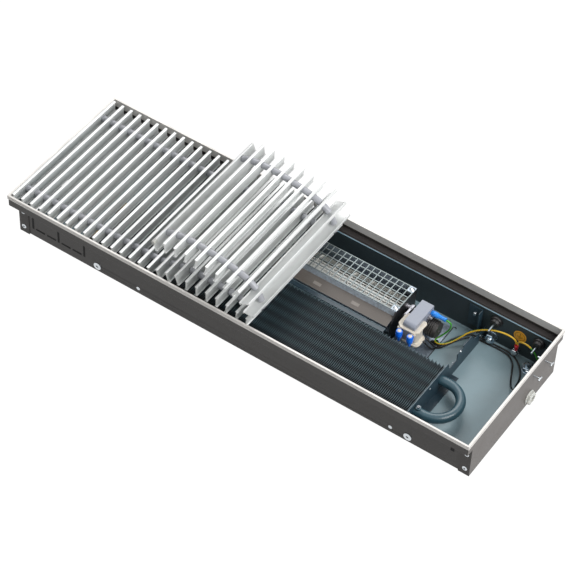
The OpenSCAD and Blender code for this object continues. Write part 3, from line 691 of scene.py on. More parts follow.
class Palette:
    """Every finish of the heater, built once."""

    def __init__(self) -> None:
        """Builds every finish."""
        inner, outer = rgb(150, 174, 182), rgb(66, 63, 61)
        # The trough's and end panels' coat: painted shade on upright inner faces, painted light on outer
        # faces turned to +X.
        self.shell = Paint("trough_coat", inner, 0.36, 0.08, 0.012, 0.05, shine=0.25).build(
            lambda g: self._in_or_out_painted_light_and_shade(g, inner, outer))
        self.end = Paint("end_coat", outer, 0.42, 0.08, 0.012, shine=0.25).build(
            lambda g: self._in_or_out_painted_light_and_shade(g, inner, outer))
        self.exchanger = Paint("exchanger_coat", rgb(32, 54, 66), 0.42, 0.1, 0.01, 0.1).build()
        # The fins' colour carries painted light and shade along their corrugations.
        self.fins = Paint("fin_coat", rgb(30, 42, 48), 0.5, 0.1, 0.008).build(
            lambda g: self._corrugation_light_and_shade(g, rgb(12, 18, 22), rgb(34, 50, 58)))
        # Painted highlight for the strip along the fins' top edges.
        self.fin_edge_highlight = Paint("fin_edge_highlight_coat", rgb(96, 116, 124), 0.45, 0.1, 0.008).build(
            lambda g: self._corrugation_light_and_shade(g, rgb(36, 48, 54), rgb(84, 104, 112)))
        self.tube = Paint("tube_coat", rgb(54, 86, 98), 0.36, 0.08, 0.01, 0.25).build()
        self.black_steel = Paint("black_coat", rgb(24, 24, 26), 0.42, 0.1, 0.01).build()
        self.core = Paint("core_lacquer", rgb(146, 152, 166), 0.42, 0.06, 0.01, 0.15).build()
        self.trim = Metal("anodised_trim", rgb(224, 221, 217), 0.45, (30.0, 30.0, 900.0),
                          metallic=0.25).build()
        self.bar = Metal("anodised_bar", rgb(232, 234, 233), 0.42, (900.0, 10.0, 900.0), 0.002, 0.25).build()
        self.zinc = Metal("zinc_plate", rgb(205, 210, 214), 0.22, (300.0, 300.0, 300.0), 0.01).build()
        self.blued = Metal("blued_zinc", rgb(176, 192, 204), 0.26, (300.0, 300.0, 300.0), 0.01).build()
        self.dull_zinc = Metal("dull_zinc", rgb(150, 160, 166), 0.34, (300.0, 300.0, 300.0), 0.01).build()
        self.cast = Metal("cast_alloy", rgb(158, 158, 164), 0.42, (500.0, 500.0, 500.0), 0.04).build()
        self.brass = Metal("turned_brass", rgb(150, 130, 84), 0.34).build()
        self.spring = Metal("spring_steel", rgb(120, 122, 126), 0.35).build()
        self.impeller = Metal("impeller_alloy", rgb(240, 240, 236), 0.5, (15.0, 600.0, 600.0), 0.01,
                              0.1).build()
        self.galvanised = Spangle("galvanised", rgb(165, 178, 192)).build()
        self.guard = Spangle("guard_zinc", rgb(134, 143, 144), 380.0, 0.5).build()
        self.spacer = Moulded("spacer_grey", rgb(176, 178, 184), 0.24).build()
        self.rubber = Moulded("seal_rubber", rgb(40, 36, 35), 0.7, grain=0.03).build()
        self.cream = Moulded("bobbin_cream", rgb(226, 218, 204), 0.42, 0.8).build()
        self.black = Moulded("black_plastic", rgb(28, 27, 28), 0.42).build()
        self.cap = Moulded("cap_plastic", rgb(50, 48, 46), 0.38, grain=0.004).build()
        self.blue = Moulded("boot_blue", rgb(20, 118, 240), 0.3, 0.5).build()
        self.sky = Moulded("connector_blue", rgb(42, 146, 242), 0.3, 0.5).build()
        self.red = Moulded("sleeve_red", rgb(200, 24, 40), 0.34, 0.4).build()
        self.white = Moulded("gland_white", rgb(206, 207, 202), 0.4, 1.2).build()
        self.black_cable = Moulded("black_cable", rgb(24, 22, 23), 0.3).build()
        self.earth_cable = StripedCable("earth_cable", rgb(228, 182, 44), rgb(60, 164, 48), lead=44.0).build()
        self.sticker = Moulded("sticker_amber", rgb(242, 172, 40), 0.4).build()
        self.ink = Moulded("sticker_ink", rgb(60, 44, 20), 0.5).build()
        self.tape = Moulded("winding_tape", rgb(200, 194, 184), 0.5, grain=0.05).build()
        self.shade = Moulded("slot_shade", rgb(5, 5, 5), 0.9).build()
        self.lip = Spangle("lip_zinc", rgb(196, 208, 220), 360.0, 0.5, 0.3).build()
        self.cover = Paint("cover_coat", rgb(100, 94, 89), 0.45, 0.08, 0.01).build()
        self.cover_mark = Paint("cover_mark_coat", rgb(140, 134, 128), 0.45, 0.08, 0.01).build()
        # Painted highlight for the top edges of the exchanger's plate and baffle.
        self.plate_edge_highlight = Paint("plate_edge_highlight_coat", rgb(120, 142, 152), 0.4, 0.08, 0.01).build()
        # Painted highlight for the folds along the ledges' inner edges.
        self.fold_highlight = Paint("fold_highlight_coat", rgb(124, 154, 170), 0.4, 0.08, 0.01).build()

    @staticmethod
    def _corrugation_light_and_shade(g: Graph, dark: Colour, light: Colour) -> bpy.types.NodeSocket:
        """Painted light and shade that follow the fins' corrugations across the trough.

        Args:
            g: The material's tree.
            dark: The painted shade at the bottom of a corrugation.
            light: The painted light at its top.

        Returns:
            The socket with the colour.
        """
        # Painted light and shade: a colour wave across the trough with the corrugations' period.
        y = g.add("SeparateXYZ", Vector=g.coords).outputs["Y"]
        wave = g.math("SINE", g.math("MULTIPLY", y, math.tau / (Exchanger.wave * MM)))
        return g.blend(g.spread(wave, -1.0, 1.0, 0.0, 1.0), dark, light)

    @staticmethod
    def _in_or_out_painted_light_and_shade(g: Graph, inner: Colour, outer: Colour) -> bpy.types.NodeSocket:
        """The inner colour between the walls, with painted shade where upright, and the outer one elsewhere,
        with painted light towards +X.

        Args:
            g: The material's tree.
            inner: The colour of the coat inside.
            outer: The colour of the coat outside.

        Returns:
            The socket with the colour.
        """
        x, y, z = g.add("SeparateXYZ", Vector=g.coords).outputs
        nuts, ledge = Span.of("anchor_nuts"), Span.of("ledge_seals")
        margin, painted_light_gain, painted_shade_gain = 0.4, 2.3, 0.12
        width = g.math("LESS_THAN", g.math("ABSOLUTE", y), (nuts.hi.y + margin) * MM)
        length = g.math("MULTIPLY", g.math("LESS_THAN", x, (ledge.hi.x + 1 + margin) * MM),
                        g.math("GREATER_THAN", x, (ledge.lo.x - margin) * MM))
        height = g.math("MULTIPLY", g.math("GREATER_THAN", z, margin * MM),
                        g.math("LESS_THAN", z, (ledge.lo.z + margin) * MM))
        inside = g.math("MULTIPLY", g.math("MULTIPLY", width, length), height)
        # Painted light and shade: faces turned to +X are painted lighter, as if lit from that side, and
        # upright inner faces darker, as shade falls in the well.
        facing = g.add("SeparateXYZ", Vector=g.add("NewGeometry").outputs["Normal"]).outputs
        upright = g.math("SUBTRACT", 1.0, g.math("ABSOLUTE", facing["Z"]))
        lit = g.blend(g.spread(facing["X"], 0.5, 1.0, 0.0, 1.0), outer, tuple(c * painted_light_gain for c in outer))
        shaded = g.blend(upright, inner, tuple(c * painted_shade_gain for c in inner))
        return g.blend(inside, lit, shaded)


@dataclass
class Studio:
    """The camera, the lamps, the white surroundings and the floor.

    Args:
        picture_px: The width of the photograph, in pixels.
        focal_px: The lens, in pixels of that picture.
        turn: The camera's turn round the heater, in degrees.
        height: Its height above the horizon, in degrees.
        roll: Its roll, in degrees.
        distance: Its distance from the target, in millimetres.
        target: What it points at, in millimetres.
        lit: What the lamps point at, in millimetres.
        fill: Strength of the surroundings' diffuse light.
        floor_glow: Strength of the floor's own light.
        floor_share: The glowing share of the floor that the camera sees.
        floor_drop: How far the floor lies under the heater, in millimetres.
        floor_half: Half the side of the floor, in metres.
    """

    picture_px: float = 570.0
    focal_px: float = 2317.128
    turn: float = 32.708
    height: float = 48.125
    roll: float = 2.56
    distance: float = 3367.388
    target: Point = (12.357, -3.948, 40.0)
    lit: Point = (0, 0, 30)
    fill: float = 0.27
    floor_glow: float = 1.08
    floor_share: float = 0.95
    floor_drop: float = 0.2
    floor_half: float = 6.0

    def build(self) -> None:
        """Makes the whole studio."""
        self.camera()
        self.world()
        self.floor()
        self.lamp("key_right", (1900, -150, 1500), size=1500, power=50)
        self.lamp("top_back", (-900, 1500, 1900), size=1700, power=31)
        self.lamp("front_fill", (-500, -2200, 1300), size=1500, power=3.5)

    def camera(self) -> None:
        """The camera, at the photograph's place."""
        a, e, r = (math.radians(v) for v in (self.turn, self.height, self.roll))
        back = Vector((math.sin(a) * math.cos(e), -math.cos(a) * math.cos(e), math.sin(e)))
        flat = Vector((0, 0, 1)).cross(back).normalized()
        rise = back.cross(flat)
        right = flat * math.cos(r) + rise * math.sin(r)
        up = rise * math.cos(r) - flat * math.sin(r)
        data = bpy.data.cameras.new("camera")
        data.lens = self.focal_px / self.picture_px * data.sensor_width
        data.clip_start, data.clip_end = 0.1, 50
        made = bpy.data.objects.new("camera", data)
        turned = Matrix((right, up, back)).transposed().to_4x4()
        made.matrix_world = Matrix.Translation((Vector(self.target) + back * self.distance) * MM) @ turned
        bpy.context.scene.collection.objects.link(made)
        bpy.context.scene.camera = made
        bpy.context.scene.view_settings.view_transform = "Standard"

    def world(self) -> None:
        """White surroundings for the camera and for reflections, and softer light for the rest."""
        world = bpy.data.worlds.new("studio")
        world.use_nodes = True
        bpy.context.scene.world = world
        tree = world.node_tree
        shade = tree.nodes["Background"]
        shade.inputs["Color"].default_value = (1, 1, 1, 1)
        path = tree.nodes.new("ShaderNodeLightPath")
        seen = path.outputs["Is Camera Ray"]
        for ray in ("Is Glossy Ray", "Is Transmission Ray"):
            either = tree.nodes.new("ShaderNodeMath")
            either.operation = "MAXIMUM"
            tree.links.new(seen, either.inputs[0])
            tree.links.new(path.outputs[ray], either.inputs[1])
            seen = either.outputs[0]
        strength = tree.nodes.new("ShaderNodeMapRange")
        strength.inputs["To Min"].default_value = self.fill
        tree.links.new(seen, strength.inputs["Value"])
        tree.links.new(strength.outputs["Result"], shade.inputs["Strength"])

    def floor(self) -> None:
        """A pale floor that looks white, with the heater's soft shadow on it."""
        g = Graph("studio_floor")
        path = g.add("LightPath")
        g.set(Base_Color=rgb(238, 238, 238), Roughness=0.8)
        grey = g.add("BsdfDiffuse", Color=(0.32, 0.32, 0.32, 1)).outputs[0]
        white = g.add("Emission", Color=(1, 1, 1, 1), Strength=self.floor_glow).outputs[0]
        lit = g.add("MixShader", Fac=self.floor_share)
        g.tree.links.new(g.shader.outputs[0], lit.inputs[1])
        g.tree.links.new(white, lit.inputs[2])
        seen = g.math("MAXIMUM", path.outputs["Is Camera Ray"],
                      g.math("MAXIMUM", path.outputs["Is Glossy Ray"], path.outputs["Is Transmission Ray"]))
        both = g.add("MixShader", Fac=seen)
        g.tree.links.new(grey, both.inputs[1])
        g.tree.links.new(lit.outputs[0], both.inputs[2])
        out = next(n for n in g.tree.nodes if n.type == "OUTPUT_MATERIAL")
        g.tree.links.new(both.outputs[0], out.inputs["Surface"])
        data = bpy.data.meshes.new("floor")
        half = self.floor_half
        corners = [(-half, -half, 0), (half, -half, 0), (half, half, 0), (-half, half, 0)]
        data.from_pydata(corners, [], [(0, 1, 2, 3)])
        data.materials.append(g.material)
        made = bpy.data.objects.new("floor", data)
        made.location.z = CAD_BOX[0].z - self.floor_drop * MM
        bpy.context.scene.collection.objects.link(made)

    def lamp(self, name: str, place: Point, size: float, power: float) -> None:
        """A square softbox that points at the heater.

        Args:
            name: Its name.
            place: Where it stands, in millimetres.
            size: The side of its square, in millimetres.
            power: Its power, in watts.
        """
        data = bpy.data.lights.new(name, "AREA")
        data.size, data.energy = size * MM, power
        made = bpy.data.objects.new(name, data)
        made.location = Vector(place) * MM
        made.rotation_euler = (Vector(self.lit) - Vector(place)).to_track_quat("-Z", "Y").to_euler()
        bpy.context.scene.collection.objects.link(made)


def hexagon(shape: Shape, axis: Axis, across: Flat, start: float, end: float, radius: float,
            chamfer: float = 0.7, turn: float = 0.0) -> None:
    """A hexagon head or nut with its corners taken off at both ends."""
    shape.lathe(axis, across, [(start, 0), (start, radius * 0.9), (start + chamfer, radius),
                               (end - chamfer, radius), (end, radius * 0.9), (end, 0)], 6, turn=turn)


def thread(shape: Shape, axis: Axis, across: Flat, start: float, end: float, radius: float,
           pitch: float = 1.25) -> None:
    """A threaded shank, drawn as rings, with a chamfered far end.

    Args:
        shape: The piece that it is added to.
        axis: The axis that it lies along.
        across: Where it crosses the plane across the axis.
        start: Where it starts on the axis.
        end: Where it ends.
        radius: Its outer radius.
        pitch: The distance from ring to ring.
    """
    step = pitch if end > start else -pitch
    profile = [(start, 0), (start, radius)]
    for k in range(int((end - start) / step) - 1):
        profile += [(start + (k + 0.5) * step, radius * 0.88), (start + (k + 1) * step, radius)]
    shape.lathe(axis, across, [*profile, (end, radius * 0.75), (end, 0)], 24)


def dome(shape: Shape, axis: Axis, across: Flat, seat: float, height: float, radius: float) -> None:
    """A domed head that sits on a seat.

    Args:
        shape: The piece that it is added to.
        axis: The axis that it points along.
        across: Where it crosses the plane across the axis.
        seat: Where it sits on the axis.
        height: How far it rises, below zero for the other way.
        radius: Its radius at the seat.
    """
    steps = 6
    profile = [(seat, 0), (seat, radius)]
    for k in range(1, steps):
        angle = math.pi / 2 * k / steps
        profile.append((seat + height * (0.25 + 0.75 * math.sin(angle)), radius * math.cos(angle) ** 0.6))
    shape.lathe(axis, across, [*profile, (seat + height, 0)], 28)


@dataclass(frozen=True)
class Fasteners:
    """Rivets, screws, nuts and the levelling screw of the trough.

    Args:
        palette: The finishes.
        rivet_r: Radius of a rivet's flange.
        anchor_r: Radius of an anchor screw's head.
        washer_r: Radius of a washer.
        washer_t: Thickness of a washer.
        nut_r: Radius of a nut over its corners.
        nut_t: Thickness of a nut.
        bolt_r: Radius of the anchor bolts' thread.
        bolt_len: Length of that thread inside the wall.
        small_r: Radius of a small screw's head.
        small_in: Distance of the small screws from the left and the right anchor screws.
        tab_in: Distance of the tab's screw from the right plate's inner face.
        tab_drop: Distance of that screw from the plate's top.
    """

    palette: Palette
    rivet_r: float = 4.0
    anchor_r: float = 6.5
    washer_r: float = 8.5
    washer_t: float = 1.4
    nut_r: float = 8.6
    nut_t: float = 8.0
    bolt_r: float = 4.0
    bolt_len: float = 15.0
    small_r: float = 3.2
    small_in: Flat = (75.0, 29.0)
    tab_in: float = 10.5
    tab_drop: float = 15.0

    def build(self) -> None:
        """Makes them all."""
        self.rivets()
        self.screws()
        self.nuts()
        self.leveller()

    def rivets(self) -> None:
        """Blind rivets that hold the end panels' side flanges, with their mandrels' ends painted black as the
        shade in the hollow heads.
        """
        span = Span.of("panel_rivets")
        shape, cores = Shape("rivets"), Shape("rivet_mandrel_shade")
        seat = span.hi.y - 1
        r = self.rivet_r
        head = [(0, 0), (0, r), (0.5, r * 0.9), (1, r * 0.55), (0.6, r * 0.4), (0.6, 0)]
        for side in (-1, 1):
            for x in (span.lo.x + r, span.hi.x - r):
                for z in (span.lo.z + r, span.hi.z - r):
                    shape.lathe(Axis.Y, (x, z), [(side * (seat + out), wide) for out, wide in head], 28)
                    # A black disc in each hollow head: the mandrel's end, painted black as painted shade.
                    cores.lathe(Axis.Y, (x, z), disc(side * seat, side * (seat + 0.66), r * 0.38), 20)
        shape.finish("trough", [self.palette.zinc], ["panel_rivets"])
        cores.finish("trough", [self.palette.black_steel], slot=SLOTS["panel_rivets"])

    def screws(self) -> None:
        """The heads of the anchor screws with their cross recess painted dark as shade, and the small screws
        beside them.
        """
        span = Span.of("wall_screws")
        seat = Span.of("anchor_nuts").hi.y + 1
        shape, cores = Shape("wall_screw_heads"), Shape("screw_recess_shade")
        z = Span.of("anchor_nuts").lo.z + self.washer_r
        ends = (span.lo.x + self.anchor_r, span.hi.x - self.anchor_r)
        r = self.anchor_r
        head = [(0, 0), (0, r), (1.2, r), (2.2, r * 0.78), (2.3, r * 0.42), (1.4, r * 0.3), (1.4, 0)]
        for side in (-1, 1):
            for x in ends:
                shape.lathe(Axis.Y, (x, z), [(side * (seat + out), wide) for out, wide in head], 32)
                # A black hexagon at the bottom of each recess: painted shade.
                cores.lathe(Axis.Y, (x, z), disc(side * seat, side * (seat + 1.5), r * 0.34), 6)
                thread(shape, Axis.Y, (x, z), side * seat, side * (seat - self.bolt_len), self.bolt_r)
            for x in (ends[0] + self.small_in[0], ends[1] - self.small_in[1]):
                dome(shape, Axis.Y, (x, z), side * seat, side * 1.0, self.small_r)
        plate = Span.of("exchanger_plate_right")
        tab = (plate.lo.x + self.tab_in, plate.hi.z - self.tab_drop)
        dome(shape, Axis.Y, tab, plate.hi.y - 1.2, -2.6, self.small_r)
        shape.finish("trough", [self.palette.zinc], ["wall_screws"])
        cores.finish("trough", [self.palette.black_steel], slot=SLOTS["wall_screws"])

    def nuts(self) -> None:
        """Washers and nuts on the anchor screws, inside the trough."""
        span = Span.of("anchor_nuts")
        shape = Shape("anchor_nuts_and_washers")
        z = span.lo.z + self.washer_r
        wall, r = span.hi.y, self.washer_r
        inner = wall - self.washer_t
        for side in (-1, 1):
            for x in (span.lo.x + r, span.hi.x - r):
                shape.lathe(Axis.Y, (x, z), [(side * wall, self.bolt_r), (side * wall, r - 0.3),
                                             (side * (wall - 0.3), r), (side * (inner + 0.3), r),
                                             (side * inner, r - 0.3), (side * inner, self.bolt_r)], 36, True)
                hexagon(shape, Axis.Y, (x, z), side * inner, side * (inner - self.nut_t), self.nut_r,
                        -0.8 * side, 12)
                dome(shape, Axis.Y, (x, z), side * (inner - self.nut_t), side * -4.5, self.bolt_r * 1.35)
        shape.finish("trough", [self.palette.blued], ["anchor_nuts"])

    def leveller(self) -> None:
        """The levelling screw that stands on the trough's floor."""
        span = Span.of("levelling_screw")
        shape = Shape("levelling_screw_detail")
        at = (span.mid.x, span.mid.y)
        r = self.washer_r
        low = span.lo.z
        shape.lathe(Axis.Z, at, [(low, 0), (low, r), (low + 1.1, r), (low + self.washer_t, r - 0.4),
                                 (low + self.washer_t, 0)], 36)
        hexagon(shape, Axis.Z, at, low + self.washer_t, low + self.washer_t + self.nut_t, self.nut_r, 0.7, 8)
        thread(shape, Axis.Z, at, low + self.washer_t + self.nut_t, span.hi.z, self.bolt_r)
        shape.finish("trough", [self.palette.blued], ["levelling_screw"])


@dataclass(frozen=True)
class Exchanger:
    """The finned exchanger: fins, plates, tubes, fittings and the valve.

    Args:
        palette: The finishes.
        pitch: Distance from fin to fin.
        sheet: Thickness of a fin.
        ripple: How far a fin's corrugation swings to each side.
        wave: Length of one corrugation along the fin.
        edge: Height of the strip along a fin's top edge that is painted lighter, a painted highlight.
        comb: How much shorter every second fin is at its far end.
        clear: Room between the last fin and the right plate.
        thread_r: Radius of the thread in a connector's mouth.
        tube_r: Outer radius of a water tube.
    """

    palette: Palette
    pitch: float = 3.0
    sheet: float = 0.6
    ripple: float = 0.35
    wave: float = 18.0
    edge: float = 0.9
    comb: float = 2.4
    clear: float = 0.3
    thread_r: float = 9.3
    tube_r: float = 7.5

    def build(self) -> None:
        """Makes every piece, and dresses the CAD's own."""
        self.fins()
        self.fittings()
        self.plate_details()
        for node in ("exchanger_plate_right", "exchanger_plate_left", "exchanger_baffle"):
            dress(node, self.palette.exchanger, 0.25)
        for node in ("water_tubes", "return_bend"):
            dress(node, self.palette.tube)
        dress("bleed_valve", self.palette.tube, 0.4)
        dress("bleed_screw", self.palette.spring, 0.3)

    def fins(self) -> None:
        """Corrugated fins, with a painted highlight along their top edges."""
        span = Span.of("fin_pack")
        shape = Shape("corrugated_fins")
        steps = round((span.hi.y - span.lo.y) / (self.wave / 2))
        line = [span.lo.y + (span.hi.y - span.lo.y) * k / steps for k in range(steps + 1)]
        swing = [self.ripple if k % 2 else -self.ripple for k in range(steps + 1)]
        last = Span.of("water_tubes").hi.x - TUBE_END - self.ripple - self.sheet - self.clear
        top = span.hi.z - self.edge
        for i in range(int((last - span.lo.x) / self.pitch)):
            x = last - i * self.pitch
            ends = line if i % 2 else [*line[:-1], line[-1] - self.comb]
            near = [(x + s, y) for s, y in zip(swing, ends)]
            outline = near + [(px + self.sheet, py) for px, py in reversed(near)]
            shape.skin = 0
            shape.prism(Axis.Z, span.lo.z, top, outline)
            # The top strip of each fin carries the painted highlight.
            shape.skin = 1
            shape.prism(Axis.Z, top, span.hi.z - LIFT, outline)
        shape.finish("trough", [self.palette.fins, self.palette.fin_edge_highlight], ["fin_pack"])

    def fittings(self) -> None:
        """Brass connectors with a hexagon, a turned collar and a threaded mouth."""
        span = Span.of("pipe_connectors")
        shape = Shape("brass_connectors")
        tubes = Span.of("water_tubes")
        radius = (span.hi.z - span.lo.z) / 2
        z = tubes.mid.z
        mouth, tail, bore = span.lo.x, span.hi.x, self.thread_r
        lip = [(mouth, bore), (mouth, radius * 0.88), (mouth + 1, radius * 0.95), (mouth + 3, radius * 0.95),
               (mouth + 3, bore)]
        flats = [(mouth + 3, bore), (mouth + 3, radius), (mouth + 12, radius), (mouth + 13, radius * 0.9),
                 (mouth + 14, bore)]
        collar = [(mouth + 13, 6.5), (mouth + 13, radius * 0.86), (mouth + 16, radius * 0.8),
                  (mouth + 17, 9.5), (tail - 0.6, 9.5), (tail, 9.0), (tail, 7.6)]
        turns, pitch = 10, 1.3
        rings = [(mouth + 0.2, bore)]
        for k in range(turns):
            rings += [(mouth + 0.8 + k * pitch, 8.7), (mouth + 1.4 + k * pitch, 9.28)]
        rings += [(mouth + 14, 9.28), (mouth + 14, 9.4), (mouth + 0.2, 9.4)]
        for y in (tubes.lo.y + self.tube_r, tubes.hi.y - self.tube_r):
            for profile, sides in ((lip, 36), (flats, 6), (collar, 36), (rings, 36)):
                shape.lathe(Axis.X, (y, z), profile, sides, True)
        shape.finish("trough", [self.palette.brass], ["pipe_connectors"], bevel=0.3)

    def plate_details(self) -> None:
        """Small rivets on the plates, the pin at the right plate's notch, and painted highlight strips along
        the right plate's top edge and the baffle's far edge.
        """
        inner = Span.of("water_tubes").hi.x - TUBE_END
        face = inner + PLATE_T
        shape = Shape("plate_rivets")
        rivets, pin = ((-60, 12), (-38, 31), (-92, 31), (22, 31), (100, 16)), (42, 36)
        for at in rivets:
            dome(shape, Axis.X, at, face, 0.7, 1.5)
        dome(shape, Axis.X, pin, face, 2.2, 2.2)
        shape.finish("trough", [self.palette.zinc], slot=SLOTS["wall_screws"])
        # Thin lighter strips on the top edges: painted highlights.
        edge = Shape("plate_edge_highlights")
        plate, baffle = Span.of("exchanger_plate_right"), Span.of("exchanger_baffle")
        top = baffle.hi.z - PLATE_T / 2
        edge.box((inner - 0.02, plate.lo.y, top - 0.3), (face + 0.02, baffle.hi.y - 2, top + 0.06))
        edge.box((baffle.lo.x, baffle.hi.y - 0.5, baffle.hi.z - 0.3),
                 (baffle.hi.x, baffle.hi.y + LIFT, baffle.hi.z + LIFT))
        edge.finish("trough", [self.palette.plate_edge_highlight], slot=SLOTS["exchanger_plate_right"])


@dataclass(frozen=True)
class Fan:
    """The tangential fan: housing, guard, brackets, impeller and screws.

    Args:
        palette: The finishes.
        blades: Number of blades.
        blade_depth: Radial depth of a blade.
        blade_lean: How far a blade's outer edge leads its inner one, in degrees.
        blade_t: Thickness of a blade.
        disc_pitch: Distance from one stiffening disc to the next.
        mesh: Distance from one rib of the guard to the next.
        rib: Width of a rib.
        pad: How far the plate round a guard screw reaches along the fan.
        pad_w: How far it reaches across.
        screw_r: Radius of a guard screw's head.
        mark: Length of a raised mark on the cover strip.
        mark_step: Distance from one mark to the next.
    """

    palette: Palette
    blades: int = 30
    blade_depth: float = 6.5
    blade_lean: float = 16.0
    blade_t: float = 0.5
    disc_pitch: float = 27.0
    mesh: float = 10.2
    rib: float = 1.7
    pad: float = 10.0
    pad_w: float = 9.0
    screw_r: float = 4.0
    mark: float = 13.0
    mark_step: float = 66.0

    def build(self) -> None:
        """Makes every piece, and dresses the CAD's own."""
        dress("fan_housing", self.palette.galvanised, 0.2)
        dress("fan_brackets", self.palette.black_steel, 0.3)
        dress("fan_bearing", self.palette.black, 0.3)
        self.impeller()
        self.screws()
        self.cover()
        self.grid()

    def grid(self) -> None:
        """The punched guard: a frame, its ribs and a pad under every screw."""
        span = Span.of("fan_guard")
        screws = Span.of("guard_screws")
        shape = Shape("guard_grid")
        low, high = span.lo.z, span.hi.z
        rib, step = self.rib / 2, 0.02

        def middles(start: float, end: float) -> list[float]:
            """The middles of the ribs between two edges.

            Args:
                start: The first edge.
                end: The last one.

            Returns:
                Their places, the outer ones drawn in to the edge.
            """
            count = round((end - start) / self.mesh)
            evenly = [start + (end - start) * k / count for k in range(count + 1)]
            return [min(max(at, start + rib), end - rib) for at in evenly]

        for y in middles(span.lo.y, span.hi.y):
            shape.box((span.lo.x, y - rib, low), (span.hi.x, y + rib, high - step))
        for x in middles(span.lo.x, span.hi.x):
            shape.box((x - rib, span.lo.y, low + step), (x + rib, span.hi.y, high))
        shape.skin = 1
        for x0, x1 in ((span.lo.x, screws.lo.x + self.pad), (screws.hi.x - self.pad, span.hi.x)):
            for y0, y1 in ((span.lo.y, screws.lo.y + self.pad_w), (screws.hi.y - self.pad_w, span.hi.y)):
                shape.box((x0, y0, low - LIFT), (x1, y1, high + LIFT))
        shape.finish("trough", [self.palette.guard, self.palette.lip], ["fan_guard"], bevel=0.15, segments=1)

    def cover(self) -> None:
        """The painted face of the outlet's cover strip, with its row of raised marks."""
        housing, guard, baffle = Span.of("fan_housing"), Span.of("fan_guard"), Span.of("exchanger_baffle")
        near, far = baffle.hi.y + 1.5, guard.lo.y - 1.0
        low, high = baffle.hi.z + 2.5, guard.lo.z - 9.0
        rise = (high - low) / (far - near)
        shape = Shape("outlet_cover")

        def strip(start: float, end: float, y0: float, y1: float, skin: float) -> None:
            """A sloping strip between two heights above the sheet."""
            z0, z1 = low + (y0 - near) * rise, low + (y1 - near) * rise
            shape.prism(Axis.X, start, end, [(y0, z0), (y1, z1), (y1, z1 + skin), (y0, z0 + skin)])

        strip(housing.lo.x, housing.hi.x, near, far - 0.5, 0.25)
        shape.skin = 1
        for k in range(int((housing.hi.x - housing.lo.x) / self.mark_step)):
            start = housing.hi.x - (k + 1) * self.mark_step
            strip(start, start + self.mark, near + 0.3 * (far - near), near + 0.55 * (far - near), 0.5)
        shape.skin = 2
        edge, brim, foot = guard.lo.y, guard.lo.z, guard.lo.z - 10.0
        shape.prism(Axis.X, housing.lo.x, housing.hi.x,
                    [(edge - 0.2, brim), (edge + 0.4, brim), (edge - 1.6, foot), (edge - 2.2, foot)])
        shape.finish("trough", [self.palette.cover, self.palette.cover_mark, self.palette.lip],
                     slot=SLOTS["fan_housing"])

    def blade(self, angle: float, radius: float) -> list[Flat]:
        """The curved section of one blade, round the shaft.

        Args:
            angle: Its inner edge's angle, in degrees.
            radius: Its outer edge's distance from the shaft.

        Returns:
            The points of its outline.
        """
        steps = 5
        line = []
        for k in range(steps + 1):
            share = k / steps
            r = radius - self.blade_depth * (1 - share)
            a = math.radians(angle + self.blade_lean * share * share)
            line.append((r * math.cos(a), r * math.sin(a)))
        lean = math.radians(angle)
        inner = [(y - self.blade_t * math.sin(lean), z + self.blade_t * math.cos(lean)) for y, z in line]
        return line + inner[::-1]

    def impeller(self) -> None:
        """The squirrel-cage impeller, its discs and its stub."""
        span = Span.of("fan_impeller")
        shaft = Span.of("motor_shaft")
        centre = (shaft.mid.y, shaft.mid.z)
        radius = (span.hi.z - span.lo.z) / 2
        shape = Shape("impeller_cage")
        start, end = Span.of("fan_housing").lo.x + 3, span.hi.x
        for k in range(self.blades):
            section = self.blade(360 * k / self.blades, radius - 0.2)
            shape.prism(Axis.X, start + 1, end - 1, [(centre[0] + y, centre[1] + z) for y, z in section])
        hub = radius - self.blade_depth
        discs = int((end - start) / self.disc_pitch)
        for k in range(1, discs):
            x = start + (end - start) * k / discs
            shape.lathe(Axis.X, centre, ring(x - 0.4, x + 0.4, hub - 1, radius), 60, True)
        cap = [(0, 0), (0, radius - 0.5), (0.5, radius), (1.2, radius), (1.2, radius - 2), (2.4, hub),
               (1.4, 5), (1.4, 0)]
        for x, way in ((start, 1), (end, -1)):
            shape.lathe(Axis.X, centre, [(x + way * inward, wide) for inward, wide in cap], 60)
        tip = span.lo.x
        shape.lathe(Axis.X, centre, [(tip, 0), (tip, 2.6), (tip + 0.5, 3), (start, 3), (start, 0)], 24)
        shape.finish("fan_rotor", [self.palette.impeller], ["fan_impeller"])
        dress("motor_shaft", self.palette.spring, 0.2)

    def screws(self) -> None:
        """Domed screws with a cross slot at the guard's corners."""
        span = Span.of("guard_screws")
        shape = Shape("guard_screw_heads")
        r, seat = self.screw_r, span.lo.z
        head = [(seat, 0), (seat, r), (seat + 0.5, r), (seat + 1.4, 0.8 * r), (span.hi.z, 0.475 * r),
                (seat + 1.4, 0.3 * r), (seat + 1.4, 0)]
        for x in (span.lo.x + r, span.hi.x - r):
            for y in (span.lo.y + r, span.hi.y - r):
                shape.lathe(Axis.Z, (x, y), head, 28)
        shape.finish("trough", [self.palette.zinc], ["guard_screws"])


